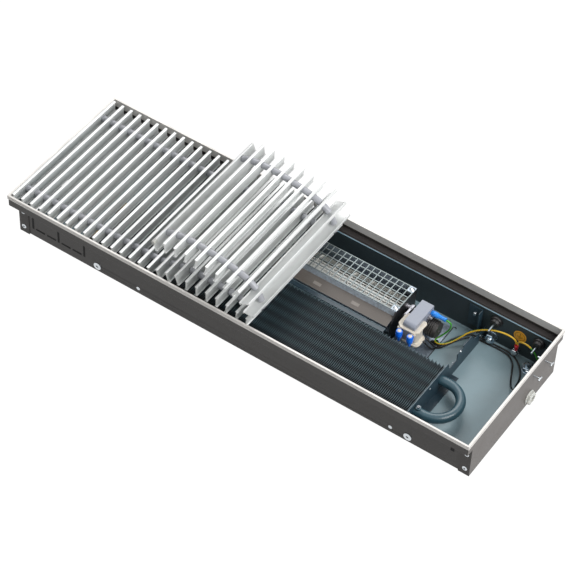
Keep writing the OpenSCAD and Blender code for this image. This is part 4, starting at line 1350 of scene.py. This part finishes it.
@dataclass(frozen=True)
class Motor:
    """The shaded-pole motor: core, bobbin with its winding, bearing frame, cap, boots and connector.

    Args:
        palette: The finishes.
        cut: How far the bobbin's flange corners are cut.
        flange: Thickness of the bobbin's flanges.
        lug: Half the width of the strap over the front bearing.
        bolt_out: Distance of the two frame bolts from the shaft.
        bolt_r: Radius of the posts round them.
        face_in: Distance of the bearing's face from the ends of the posts.
        boss_t: Thickness of the frame's bosses.
        boss_r: Radii of the bosses at the core and at the bearing's face.
        arm: Reach of the frame's two side arms.
    """

    palette: Palette
    cut: float = 6.0
    flange: float = 3.0
    lug: float = 6.5
    bolt_out: float = 17.5
    bolt_r: float = 3.0
    face_in: float = 8.0
    boss_t: float = 3.0
    boss_r: Flat = (4.2, 5.0)
    arm: float = 16.0

    def build(self) -> None:
        """Makes every piece, and dresses the CAD's own."""
        dress("motor_core", self.palette.core, 1.2)
        dress("motor_cap", self.palette.cap, 0.4)
        self.bobbin()
        self.frame()
        self.rear_bracket()
        self.boots()
        self.connector()

    def octagon(self, lo: Flat, hi: Flat) -> list[Flat]:
        """A rectangle with cut corners.

        Args:
            lo: The lowest corner.
            hi: The highest corner.

        Returns:
            The points of the outline.
        """
        (x0, y0), (x1, y1) = lo, hi
        c = self.cut
        return [(x0 + c, y0), (x1 - c, y0), (x1, y0 + c), (x1, y1 - c * 0.5), (x1 - c * 0.5, y1),
                (x0 + c * 0.5, y1), (x0, y1 - c * 0.5), (x0, y0 + c)]

    def bobbin(self) -> None:
        """The bobbin's two flanges, its taped winding and its two tabs."""
        span = Span.of("motor_bobbin")
        core = Span.of("motor_core")
        shape = Shape("bobbin_flanges")
        top, low = span.hi.z, span.lo.z
        t = self.flange
        shape.prism(Axis.Z, top - t, top, self.octagon((span.lo.x, span.lo.y), (core.hi.x + 7, span.hi.y)))
        shape.prism(Axis.Z, top - 2 * t, top - t,
                    self.octagon((span.lo.x + 3, span.lo.y + 2.5), (core.hi.x + 4, span.hi.y - 2)))
        shape.prism(Axis.Z, low, low + t,
                    rounded((core.lo.x - 4, span.lo.y + 1), (span.hi.x, span.hi.y - 3), 7))
        shape.prism(Axis.Z, low + t, low + 1.6 * t,
                    rounded((core.lo.x - 2, span.lo.y + 3), (span.hi.x - 3, span.hi.y - 5), 6))
        for x in (span.lo.x + 2, core.hi.x - 3):
            shape.box((x, span.lo.y - 0.5, top - 7), (x + 6, span.lo.y + 4, top - t))
        shape.finish("trough", [self.palette.cream], ["motor_bobbin"], bevel=0.9, segments=3)
        coil = Shape("coil_winding")
        coil.prism(Axis.Z, low + t, top - t,
                   rounded((core.lo.x - 3.4, span.lo.y + 3.2), (core.hi.x + 3.4, span.hi.y - 4), 5, 6))
        coil.finish("trough", [self.palette.tape], slot=SLOTS["motor_bobbin"])

    def frame(self) -> None:
        """The cast front bearing frame with its ribs and feet."""
        span = Span.of("motor_frame")
        shaft = Span.of("motor_shaft")
        y, z = shaft.mid.y, shaft.mid.z
        shape = Shape("front_bearing_frame")
        face, thick, bore = span.hi.x - self.face_in, self.boss_t, 2.6
        bearing = [(-4, bore), (-4, 7.5), (-2.5, 8.5), (0, 9), (0, 14.5), (0.8, 15), (thick - 0.4, 15),
                   (thick, 14.5), (thick, bore)]
        shape.lathe(Axis.X, (y, z), [(face + out, r) for out, r in bearing], 40, True)
        for side in (-1, 1):
            reach = side * self.bolt_out
            for x, r in zip((span.lo.x, face), self.boss_r):
                boss = [(x, 0), (x, r), (x + (thick - 0.4), r), (x + thick, r - 0.4), (x + thick, 0)]
                shape.lathe(Axis.X, (y, z + reach), boss, 24)
            shape.lathe(Axis.X, (y, z + reach), disc(span.lo.x, span.hi.x - 0.2, self.bolt_r), 24)
            shape.box((face + 0.2, y - self.bolt_r, z + min(0, reach)),
                      (face + 2.8, y + self.bolt_r, z + max(0, reach)))
        for arm in (-self.arm, self.arm):
            shape.box((face + 0.3, y + min(arm, 0), z - 2.5), (face + 2.7, y + max(arm, 0), z + 2.5))
        lug, strap = self.lug, face - 1.5
        shape.prism(Axis.X, face, face + thick, rounded((y - lug, z + 8), (y + lug, z + 22.5), 4))
        shape.prism(Axis.X, strap, face + 2, rounded((y - 3 * lug, z + 13.5), (y + lug, z + 21.5), 3.5))
        dome(shape, Axis.X, (y, z + self.bolt_out), strap, -2.6, 5.0)
        dome(shape, Axis.X, (y - 2.4 * lug, z + self.bolt_out), strap, -2.2, 3.4)
        shape.finish("trough", [self.palette.cast], ["motor_frame"], bevel=0.5)

    def rear_bracket(self) -> None:
        """The rear bearing bridge with its two nuts."""
        cap, core = Span.of("motor_cap"), Span.of("motor_core")
        y, z = cap.mid.y, cap.mid.z
        shape = Shape("rear_bearing_bridge")
        x = core.hi.x
        for side in (-1, 1):
            at = (y, z + side * self.bolt_out)
            hexagon(shape, Axis.X, at, x, x + 3.2, 4.2, 0.5)
            shape.lathe(Axis.X, at, [(x, 0), (x, 2.2), (x + 6, 2.2), (x + 6.4, 1.8), (x + 6.4, 0)], 20)
        bridge = [(-5, -19), (5, -19), (7, -10), (7, 10), (5, 19), (-5, 19), (-7, 10), (-7, -10)]
        shape.prism(Axis.X, x + 0.2, x + 2.2, [(y + a, z + b) for a, b in bridge])
        shape.finish("trough", [self.palette.cast], slot=SLOTS["motor_frame"], bevel=0.4)

    def boots(self) -> None:
        """The two insulating boots on the bobbin's tabs, each with a pale collar and a narrow tip."""
        span = Span.of("terminal_boots")
        shape = Shape("insulating_boots")
        r = (span.hi.y - span.lo.y) / 2
        top, low = span.hi.z, span.lo.z
        waist = low + 0.28 * (top - low)
        boot = [(top - 0.7, 0), (top - 0.7, r * 1.05), (top - 1.8, r * 1.16), (waist + 2.5, r * 1.12),
                (waist + 0.6, r * 0.86), (waist, r * 0.62), (low + 0.8, r * 0.56), (low, r * 0.42), (low, 0)]
        collar = [(top, 0), (top, r * 0.6), (top - 0.3, r * 0.72), (top - 0.8, r * 0.72), (top - 0.8, 0)]
        for x in (span.lo.x + r, span.hi.x - r):
            at = (x, span.mid.y)
            shape.skin = 0
            shape.lathe(Axis.Z, at, boot, 28)
            for k in range(3):
                z = top - 4.0 - 2.2 * k
                shape.lathe(Axis.Z, at, ring(z, z - 0.8, r, r * 1.2), 28, True)
            shape.skin = 1
            shape.lathe(Axis.Z, at, collar, 28)
        shape.finish("trough", [self.palette.blue, self.palette.cream], ["terminal_boots"])

    def connector(self) -> None:
        """The pale blue sleeve of the earth connection."""
        span = Span.of("earth_connector")
        shape = Shape("earth_connector_sleeve")
        y, z = span.mid.y, span.mid.z
        r = (span.hi.z - span.lo.z) / 2
        x0, x1 = span.lo.x, span.hi.x
        mid = (x0 + x1) / 2
        sleeve = [(x0, 0.0), (x0, 0.86), (x0 + 1, 1.02), (mid - 3, 1.02), (mid - 1, 0.92), (mid + 1, 0.78),
                  (x1 - 3, 0.72), (x1 - 1, 0.82), (x1, 0.74), (x1, 0.0)]
        shape.lathe(Axis.X, (y, z), [(x, r * share) for x, share in sleeve], 28)
        shape.finish("trough", [self.palette.sky], ["earth_connector"])


@dataclass(frozen=True)
class Wiring:
    """The wires that the trough holds, and what they end in.

    Args:
        palette: The finishes.
        wire_r: Radius of a wire.
        stud_nut_r: Radius of the earth stud's nuts over their corners.
        earth_route: The earth wire's points.
        loop_route: The points of the earth wire's last loop.
        cable_route_a: The first supply wire's points.
        cable_route_b: The second supply wire's points.
    """

    palette: Palette
    wire_r: float = 1.3
    stud_nut_r: float = 6.0
    earth_route: tuple[Point, ...] = (
        (242.2, 69.6, 49), (246, 70, 48.2), (249, 71, 45), (249.6, 71.8, 40), (248.5, 72, 33),
        (244.5, 71, 24), (240, 69, 17), (236, 66.5, 12), (233.2, 63.8, 9.2), (232.6, 61, 8),
        (234, 58.8, 7.5), (237, 58, 7.4), (241.5, 59, 7.2), (248, 64, 7), (255, 74, 8), (262, 84, 13),
        (269, 91, 20), (279.6, 95, 28.5), (292, 97, 36.5), (306, 99, 42.5), (319, 101, 44.5),
        (330, 103.2, 42.5), (336.5, 105, 38), (338.8, 106, 33), (338.9, 106, 30))
    loop_route: tuple[Point, ...] = (
        (341.7, 106, 30), (341.9, 105.8, 33), (344, 105, 37.5), (350, 103.5, 42), (360, 102, 43.5),
        (370, 101, 39), (377, 100, 31), (383, 99, 23), (390, 98, 17), (397.8, 98, 16))
    cable_route_a: tuple[Point, ...] = (
        (225.6, 44, 23), (229, 44.5, 21), (234.5, 46, 14.5), (240.5, 49.5, 7), (244.5, 56, 3),
        (248, 64, 2.5), (254, 78, 2.5), (263, 92, 2.5), (271, 99.5, 2.5), (279.6, 102.2, 2.5),
        (290, 103, 2.5), (304, 103.5, 2.5), (320, 103.8, 2.5), (333, 101.5, 2.5), (344, 93, 2.5),
        (351, 80, 2.5), (358, 65, 3.2), (364, 54, 6.5), (369, 46.5, 11), (373.2, 43, 13.8),
        (377.9, 42.3, 14.5))
    cable_route_b: tuple[Point, ...] = (
        (225.6, 37, 23), (229, 37.5, 20), (233, 40.5, 11.5), (237, 46.5, 4.2), (240.5, 54, 2.5),
        (243.5, 64, 2.5), (249, 78, 2.5), (257.5, 93, 2.5), (267, 103.5, 2.5), (279.6, 106.8, 2.5),
        (292, 107.6, 2.5), (306, 108, 2.5), (323, 108, 2.5), (338, 105.5, 2.5), (351, 97.5, 2.5),
        (361, 86, 2.5), (367, 74, 3), (370.2, 62.5, 6), (372.2, 53.5, 10.5), (374.4, 48, 13.6),
        (377.9, 46.7, 14.5))

    def build(self) -> None:
        """Makes every piece, and dresses the CAD's own."""
        self.wires("earth_lead", (self.earth_route, self.loop_route[::-1]), "earth_wire",
                   self.palette.earth_cable)
        self.wires("supply_leads", (self.cable_route_a, self.cable_route_b), "supply_cables",
                   self.palette.black_cable)
        self.terminal()
        self.stud()
        self.sticker()
        self.gland()
        dress("cable_clip", self.palette.black, 0.5)
        dress("wall_knobs", self.palette.black, 0.8)
        dress("knob_pins", self.palette.dull_zinc, 0.3)
        dress("end_latches", self.palette.zinc, 0.3)

    def wires(self, name: str, routes: Sequence[Sequence[Point]], node: str,
              finish: bpy.types.Material) -> None:
        """Round wires along their routes.

        Args:
            name: The piece's name.
            routes: The routes of its wires.
            node: The CAD node that it stands for.
            finish: Its insulation.
        """
        shape = Shape(name)
        for route in routes:
            shape.tube(curve_through(route), self.wire_r, 12)
        shape.finish("trough", [finish], [node])

    def terminal(self) -> None:
        """The crimped ring terminal with its red sleeve."""
        span, stud = Span.of("ring_terminal"), Span.of("earth_stud")
        x, y, z = stud.mid.x + self.wire_r, span.mid.y, stud.mid.z
        shape = Shape("crimped_terminal")
        half, bore, rim = 0.5, 2.6, 5.0
        top, low = span.hi.z, z + rim
        sleeve = [(low, 0), (low, 2.4), (low + 1, 2.7), (low + 6.5, 2.8), (top - 5, 2.9), (top - 3.4, 3.1),
                  (top - 3, 2.4), (top - 3, 0)]
        eye = [(y - half, bore), (y - half, rim - 0.2), (y - 0.3, rim), (y + 0.3, rim),
               (y + half, rim - 0.2), (y + half, bore)]
        shape.lathe(Axis.Z, (x, y), sleeve, 24)
        shape.skin = 1
        shape.lathe(Axis.Y, (stud.mid.x, z), eye, 32, True)
        shape.box((stud.mid.x - 1.8, y - half, z + rim - 1), (stud.mid.x + 3, y + half, z + rim + 1))
        shape.finish("trough", [self.palette.red, self.palette.zinc], ["ring_terminal"])

    def stud(self) -> None:
        """The earth stud with its nuts and its thread."""
        span = Span.of("earth_stud")
        shape = Shape("earth_stud_and_nuts")
        at = (span.mid.x, span.mid.z)
        lug = Span.of("ring_terminal").mid.y
        hexagon(shape, Axis.Y, at, lug + 0.5, span.hi.y, self.stud_nut_r, 0.5)
        hexagon(shape, Axis.Y, at, lug - 3.4, lug - 0.5, self.stud_nut_r, 0.5)
        thread(shape, Axis.Y, at, lug - 3, span.lo.y, 2.5, 0.8)
        shape.finish("trough", [self.palette.zinc], ["earth_stud"])

    def sticker(self) -> None:
        """The round earth label with the general earth symbol."""
        span = Span.of("earth_sticker")
        x, z = span.mid.x, span.mid.z
        r = (span.hi.z - span.lo.z) / 2
        face, wall = span.lo.y, span.hi.y
        shape = Shape("earth_label")
        shape.lathe(Axis.Y, (x, z), disc(wall, face + LIFT, r), 48)
        shape.skin = 1
        circle, raised, line, step = 0.72 * r, face + 0.1, 0.5, 1.7
        shape.lathe(Axis.Y, (x, z), ring(face, raised, circle, circle + line), 48, True)
        shape.box((x - 0.35, face, z - line), (x + 0.35, raised, z + 0.55 * r))
        for k, half in enumerate((0.5, 0.32, 0.14)):
            low = z - line - k * step
            shape.box((x - half * r, face, low - 0.6), (x + half * r, raised, low))
        shape.finish("trough", [self.palette.sticker, self.palette.ink], ["earth_sticker"])

    def gland(self) -> None:
        """The cable gland: a flange, a hexagon body and a ribbed dome nut."""
        span = Span.of("cable_gland")
        panel = Span.of("end_panel_right")
        y, z = span.mid.y, span.mid.z
        r = (span.hi.z - span.lo.z) / 2
        seat, tip = panel.hi.x, span.hi.x
        shape = Shape("gland_body")
        bore = 5.6
        neck, wide, tail = seat + 1.5, r * 0.98, span.lo.x
        collar = [(seat, bore), (seat, r), (seat + 1, r), (neck, r - 0.6), (neck, bore)]
        flats = [(neck, bore), (neck, wide), (tip - 1.6, wide), (tip - 0.4, wide * 0.88), (tip, wide * 0.76),
                 (tip, bore)]
        turns, pitch = 4, 0.7
        rings = [(tail, bore), (tail, 7.2)]
        for k in range(turns):
            rings += [(tail + 0.8 + k * pitch, 7.9), (tail + 1.15 + k * pitch, 7.3)]
        rings += [(seat - 1, 7.9), (seat - 1, bore)]
        for profile, sides in ((collar, 40), (flats, 6), (rings, 40)):
            shape.lathe(Axis.X, (y, z), profile, sides, True)
        shape.finish("trough", [self.palette.white], ["cable_gland"], bevel=0.4, segments=3)
        nut = Span.of("gland_nut")
        shape = Shape("gland_dome_nut")
        out, back, bore, ribs = nut.lo.x, nut.hi.x, 8.1, 18
        wide = (nut.hi.z - nut.lo.z) / 2 / math.cos(math.radians(30))
        flat = out + 0.55 * (back - out)
        body = [(back, bore), (back, wide * 0.93), (back - 0.8, wide), (flat + 0.8, wide),
                (flat, wide * 0.93), (flat, bore)]
        crown = [(flat, bore), (flat, wide * 0.86), (flat - 3, wide * 0.84), (out + 1.4, wide * 0.76),
                 (out, wide * 0.7), (out, bore)]
        shape.lathe(Axis.X, (y, z), body, 6, True)
        shape.lathe(Axis.X, (y, z), crown, 40, True)
        for k in range(ribs):
            a = math.tau * k / ribs
            at = (y + wide * 0.84 * math.cos(a), z + wide * 0.84 * math.sin(a))
            shape.lathe(Axis.X, at, [(flat, 0), (flat, 0.7), (out + 2.6, 0.55), (out + 2.0, 0)], 8)
        shape.finish("trough", [self.palette.white], ["gland_nut"], bevel=0.4, segments=2)


@dataclass(frozen=True)
class Link:
    """One raised part of the grille, at rest.

    Args:
        body: Its body.
        place: Its place, with the hinge at the origin and the bars along +X.
        bars: How many bars it holds.
        opened: The gap before its first spacer.
    """

    body: str
    place: Matrix
    bars: int
    opened: float


@dataclass
class Grille:
    """The roll-up grille: bars strung on two springs, with spacers between them.

    Args:
        palette: The finishes.
        web: Thickness of a bar's web.
        flange: Width of its flanges.
        flange_t: Thickness of its flanges.
        fillet: Radius between its web and its flanges.
        edge: Radius of its flanges' edges.
        spacer_r: Radius of a spacer.
        bore_r: Radius of the hole through bars and spacers.
        spring_h: Height of the springs above the foot of the bars.
        spring_in: Distance of a spring from the ends of the bars.
        pitch: Distance from one flat bar to the next.
        chamfer: Chamfer at a spacer's ends.
        slip: Clearance at the ends of a raised spacer.
        fold_gap: Gap before the first spacer where the chain folds up.
        fold: Number of the raised part that folds up.
        coil_r: Radius of a spring's turns.
        coil_wire: Radius of a spring's wire.
        coil_pitch: Distance from one turn to the next.
        coil_show: Length of spring drawn beside a flat bar.
        coil_tuck: How far a raised spring reaches into its spacer.
        roll: Distance from one raised bar to the next, read from the record.
    """

    palette: Palette
    web: float = 1.5
    flange: float = 4.6
    flange_t: float = 1.2
    fillet: float = 0.6
    edge: float = 0.3
    spacer_r: float = 5.0
    bore_r: float = 2.3
    spring_h: float = 7.2
    spring_in: float = 31.0
    pitch: float = 16.5
    chamfer: float = 0.45
    slip: float = 0.1
    fold_gap: float = 6.6
    fold: int = 3
    coil_r: float = 1.7
    coil_wire: float = 0.45
    coil_pitch: float = 1.15
    coil_show: float = 3.0
    coil_tuck: float = 2.0
    roll: float = 17.6

    def build(self) -> None:
        """Makes every piece."""
        self.flat()
        links = self.links()
        for link in links:
            self.raised(link)
        self.ends(links[-1])

    @property
    def height(self) -> float:
        """Height of a bar."""
        span = Span.of("grille_flat")
        return span.hi.z - span.lo.z

    @property
    def reach(self) -> float:
        """Half the length of a bar."""
        return Span.of("grille_flat").hi.y

    def section(self, x: float, foot: float) -> list[Flat]:
        """A bar's I-shaped outline.

        Args:
            x: Where its middle is.
            foot: The height of its foot.

        Returns:
            The points of the outline.
        """
        f, w, t, e, r = self.flange / 2, self.web / 2, self.flange_t, self.edge, self.fillet
        top = foot + self.height
        quarter = [*arc((f - e, foot + e), e, 270, 360, 2), *arc((f - e, foot + t - e), e, 0, 90, 2),
                   *arc((w + r, foot + t + r), r, 270, 180, 3), *arc((w + r, top - t - r), r, 180, 90, 3),
                   *arc((f - e, top - t + e), e, 270, 360, 2), *arc((f - e, top - e), e, 0, 90, 2)]
        other = [(-a, b) for a, b in reversed(quarter)]
        return [(x + a, b) for a, b in quarter + other]

    def bar(self, shape: Shape, x: float, foot: float) -> None:
        """One bar of the grille."""
        shape.prism(Axis.Y, -self.reach, self.reach, self.section(x, foot))

    def spacer(self, shape: Shape, start: float, end: float, height: float) -> None:
        """A pair of spacers, one on each spring.

        Args:
            shape: The piece that they are added to.
            start: Where they start.
            end: Where they end.
            height: The height of their axis.
        """
        r, b, c = self.spacer_r, self.bore_r, self.chamfer
        tube = [(start, b), (start, r - c), (start + c, r), (end - c, r), (end, r - c), (end, b)]
        for side in (-1, 1):
            shape.lathe(Axis.X, (side * (self.reach - self.spring_in), height), tube, 32, True)

    def coil(self, shape: Shape, start: float, end: float, height: float) -> None:
        """A pair of coil springs where they show between two parts.

        Args:
            shape: The piece that they are added to.
            start: Where they start.
            end: Where they end.
            height: The height of their axis.
        """
        steps = 12
        count = max(1, round((end - start) / self.coil_pitch)) * steps
        for side in (-1, 1):
            y = side * (self.reach - self.spring_in)
            line = []
            for k in range(count + 1):
                a = math.tau * k / steps
                line.append(Vector((start + (end - start) * k / count, y + self.coil_r * math.cos(a),
                                    height + self.coil_r * math.sin(a))))
            shape.tube(line, self.coil_wire, 6)

    def flat(self) -> None:
        """The bars that lie flat in the frame, with their spacers and springs."""
        span = Span.of("grille_flat")
        foot = span.lo.z
        count = round((span.hi.x - span.lo.x - self.flange) / self.pitch) + 1
        xs = [span.lo.x + self.flange / 2 + i * self.pitch for i in range(count)]
        bars, spacers, springs = Shape("flat_bars"), Shape("flat_spacers"), Shape("flat_springs")
        for x in xs:
            self.bar(bars, x, foot)
        for a, b in zip(xs, xs[1:]):
            self.spacer(spacers, a + self.web / 2, b - self.web / 2, foot + self.spring_h)
            self.coil(springs, a + self.web, a + self.web + self.coil_show, foot + self.spring_h)
        bars.finish("grille", [self.palette.bar], ["grille_flat"])
        spacers.finish("grille", [self.palette.spacer], ["grille_spacers"])
        springs.finish("grille", [self.palette.spring], ["grille_springs"])

    def links(self) -> list[Link]:
        """Reads the raised parts from the record's chain of hinges.

        Returns:
            The parts, in the order of the chain.
        """
        hinges = [j for j in frame["record"]["behaviour"]["joints"] if "grille_" + j["child"] in SLOTS]
        places = [Vector(j["pos_m"]) / MM for j in hinges]
        step = min((b - a).length for a, b in zip(places, places[1:]))
        made, angle = [], 0.0
        for i, joint in enumerate(hinges):
            turn = sum(joint["range_deg"])
            angle += turn
            bars = round((places[i + 1] - places[i]).length / step) if i + 1 < len(places) else 1
            drop = math.radians(max(0.0, -turn))
            opened = self.fold_gap if i == self.fold else \
                (0.3 + 2 * self.spacer_r * math.sin(drop)) / math.cos(drop)
            place = Matrix.Translation(places[i]) @ Matrix.Rotation(math.radians(-angle), 4, "Y")
            made.append(Link(joint["child"], place, bars, opened))
        self.roll = step
        return made

    def raised(self, link: Link) -> None:
        """One raised part: its bars, spacers and the springs that show.

        Args:
            link: The part.
        """
        foot, axis = -self.spring_h - self.spacer_r, -self.spacer_r
        shape = Shape(f"{link.body}_bars")
        shape.place = link.place
        for i in range(link.bars):
            end = (i + 1) * self.roll - self.web
            shape.skin = 0
            self.bar(shape, end + self.web / 2, foot)
            shape.skin = 1
            start = i * self.roll + (link.opened if i == 0 else self.slip)
            self.spacer(shape, start, end - self.slip, axis)
        shape.skin = 2
        self.coil(shape, self.slip + self.coil_wire, link.opened + self.coil_tuck, axis)
        shape.finish(link.body, [self.palette.bar, self.palette.spacer, self.palette.spring],
                     ["grille_" + link.body])

    def ends(self, link: Link) -> None:
        """The caps that close the springs and the ends of the last bar.

        Args:
            link: The last raised part.
        """
        foot, axis = -self.spring_h - self.spacer_r, -self.spacer_r
        shape = Shape("last_bar_caps")
        shape.place = link.place
        face = self.roll
        for side in (-1, 1):
            dome(shape, Axis.X, (side * (self.reach - self.spring_in), axis), face, 2.2, 3.6)
        shape.skin = 1
        mid, half = face - self.web / 2, self.flange / 2 + 0.4
        shape.prism(Axis.Y, -self.reach - 0.8, -self.reach + 6,
                    rounded((mid - half, foot - 0.3), (mid + half, foot + 5.5), 0.6))
        shape.finish(link.body, [self.palette.spacer, self.palette.white], slot=SLOTS["grille_" + link.body])


@dataclass(frozen=True)
class Trough:
    """The trough's sheet, its trim frame and its seals.

    Args:
        palette: The finishes.
        knock_x: Distance of the first knock-out slot from the end panel.
        knock_run: Length of the knock-outs.
        slot_w: Width of their slots.
        bridge: Length of the bridges between the slots.
        knock_z: Their lowest and highest edges.
        small_slot: Middle of the small slot in the near wall.
        small_half: Half the side of that slot.
        through: How far the faces of painted shadow lie outside the wall's inner face.
        plate: Two corners of the plate under the motor.
    """

    palette: Palette
    knock_x: float = 24.2
    knock_run: float = 98.6
    slot_w: float = 2.6
    bridge: float = 4.0
    knock_z: Flat = (17.0, 45.0)
    small_slot: Flat = (368.5, 36.5)
    small_half: float = 3.0
    through: float = 1.26
    plate: tuple[Flat, Flat] = ((182.0, 28.0), (238.5, 100.0))

    def build(self) -> None:
        """Dresses the sheet metal, and adds painted highlights on its folds, painted shadow in its
        knock-outs, and the motor's plate.
        """
        dress("trough_shell", self.palette.shell, 0.35)
        dress("end_panel_left", self.palette.end, 0.25)
        dress("end_panel_right", self.palette.end, 0.25)
        dress("trim_sides", self.palette.trim, 0.25)
        dress("trim_ends", self.palette.trim)
        dress("ledge_seals", self.palette.rubber, 0.4)
        self.folds()
        self.knock_outs()
        self.base_plate()

    def folds(self) -> None:
        """Painted highlight strips along the folds of both ledges."""
        nuts, seals = Span.of("anchor_nuts"), Span.of("ledge_seals")
        shape = Shape("ledge_fold_highlights")
        for side in (-1, 1):
            y0, y1 = sorted((side * (nuts.hi.y - LIFT), side * (nuts.hi.y + 1.3)))
            shape.box((seals.lo.x, y0, seals.lo.z - 0.6), (seals.hi.x, y1, seals.lo.z + 0.06))
        shape.finish("trough", [self.palette.fold_highlight], slot=SLOTS["trough_shell"])

    def knock_outs(self) -> None:
        """Black sheets of painted shadow behind and in the knock-outs' slots, and in the small slot beside
        the end panel.
        """
        rivets, nuts = Span.of("panel_rivets"), Span.of("anchor_nuts")
        start = rivets.lo.x - Fasteners.rivet_r + self.knock_x
        wall = -nuts.hi.y
        low, high = self.knock_z
        face, spill, around = wall - self.through, 0.4, 2
        shape = Shape("knock_out_painted_shadow")
        # Black sheets stand in for the shadow in the slots: painted shadow.
        shape.box((start - around, wall + LIFT, low - around),
                  (start + self.knock_run + around, wall + spill, high + around))
        run = (self.knock_run - 3 * self.slot_w) / 2
        for k in range(3):
            x0 = start + k * (run + self.slot_w)
            shape.box((x0 - spill, face, low - spill), (x0 + self.slot_w + spill, wall, high))
        half = (run - 3 * self.bridge) / 2
        for k in range(4):
            panel = start + self.slot_w + (k // 2) * (run + self.slot_w)
            x0 = panel + self.bridge + (k % 2) * (half + self.bridge)
            shape.box((x0, face, low - spill), (x0 + half, wall, low + self.slot_w))
        (x, z), r = self.small_slot, self.small_half
        shape.prism(Axis.Y, face, face + 0.6, rounded((x - r, z - r), (x + r, z + r), 0.8))
        shape.finish("trough", [self.palette.shade], slot=SLOTS["trough_shell"])

    def base_plate(self) -> None:
        """The thin plate under the motor, with a black strip of painted shadow along its right edge, and a
        small hook.
        """
        shell = Span.of("levelling_screw").lo.z
        (x0, y0), (x1, y1) = self.plate
        shape = Shape("motor_base_plate")
        thick, corner, rubber = 0.9, 2, 1.2
        shape.prism(Axis.Z, shell, shell + thick, rounded((x0, y0), (x1, y1), corner))
        shape.skin = 1
        # The black strip beside the right edge, rubber wide, is painted shadow.
        shape.box((x1, y0 + corner, shell), (x1 + rubber, y1 - corner, shell + 1.1))
        hook = ((0.6, -3, 0.8), (0.8, 1, 1.2), (3.5, 3, 1.4), (5.5, 1, 1.2))
        shape.tube(curve_through([(x1 + a, y1 + b, shell + c) for a, b, c in hook]), 0.7, 8)
        shape.finish("trough", [self.palette.galvanised, self.palette.black_steel],
                     slot=SLOTS["trough_shell"], bevel=0.2)


def main() -> None:
    """Builds the studio and every sub-assembly in turn."""
    logging.basicConfig(level=logging.INFO, format="%(message)s")
    Studio().build()
    palette = Palette()
    for assembly in (Trough(palette), Fasteners(palette), Exchanger(palette), Fan(palette), Motor(palette),
                     Wiring(palette), Grille(palette)):
        LOG.info("%s:", type(assembly).__name__)
        assembly.build()


if __name__ == "__main__":
    main()
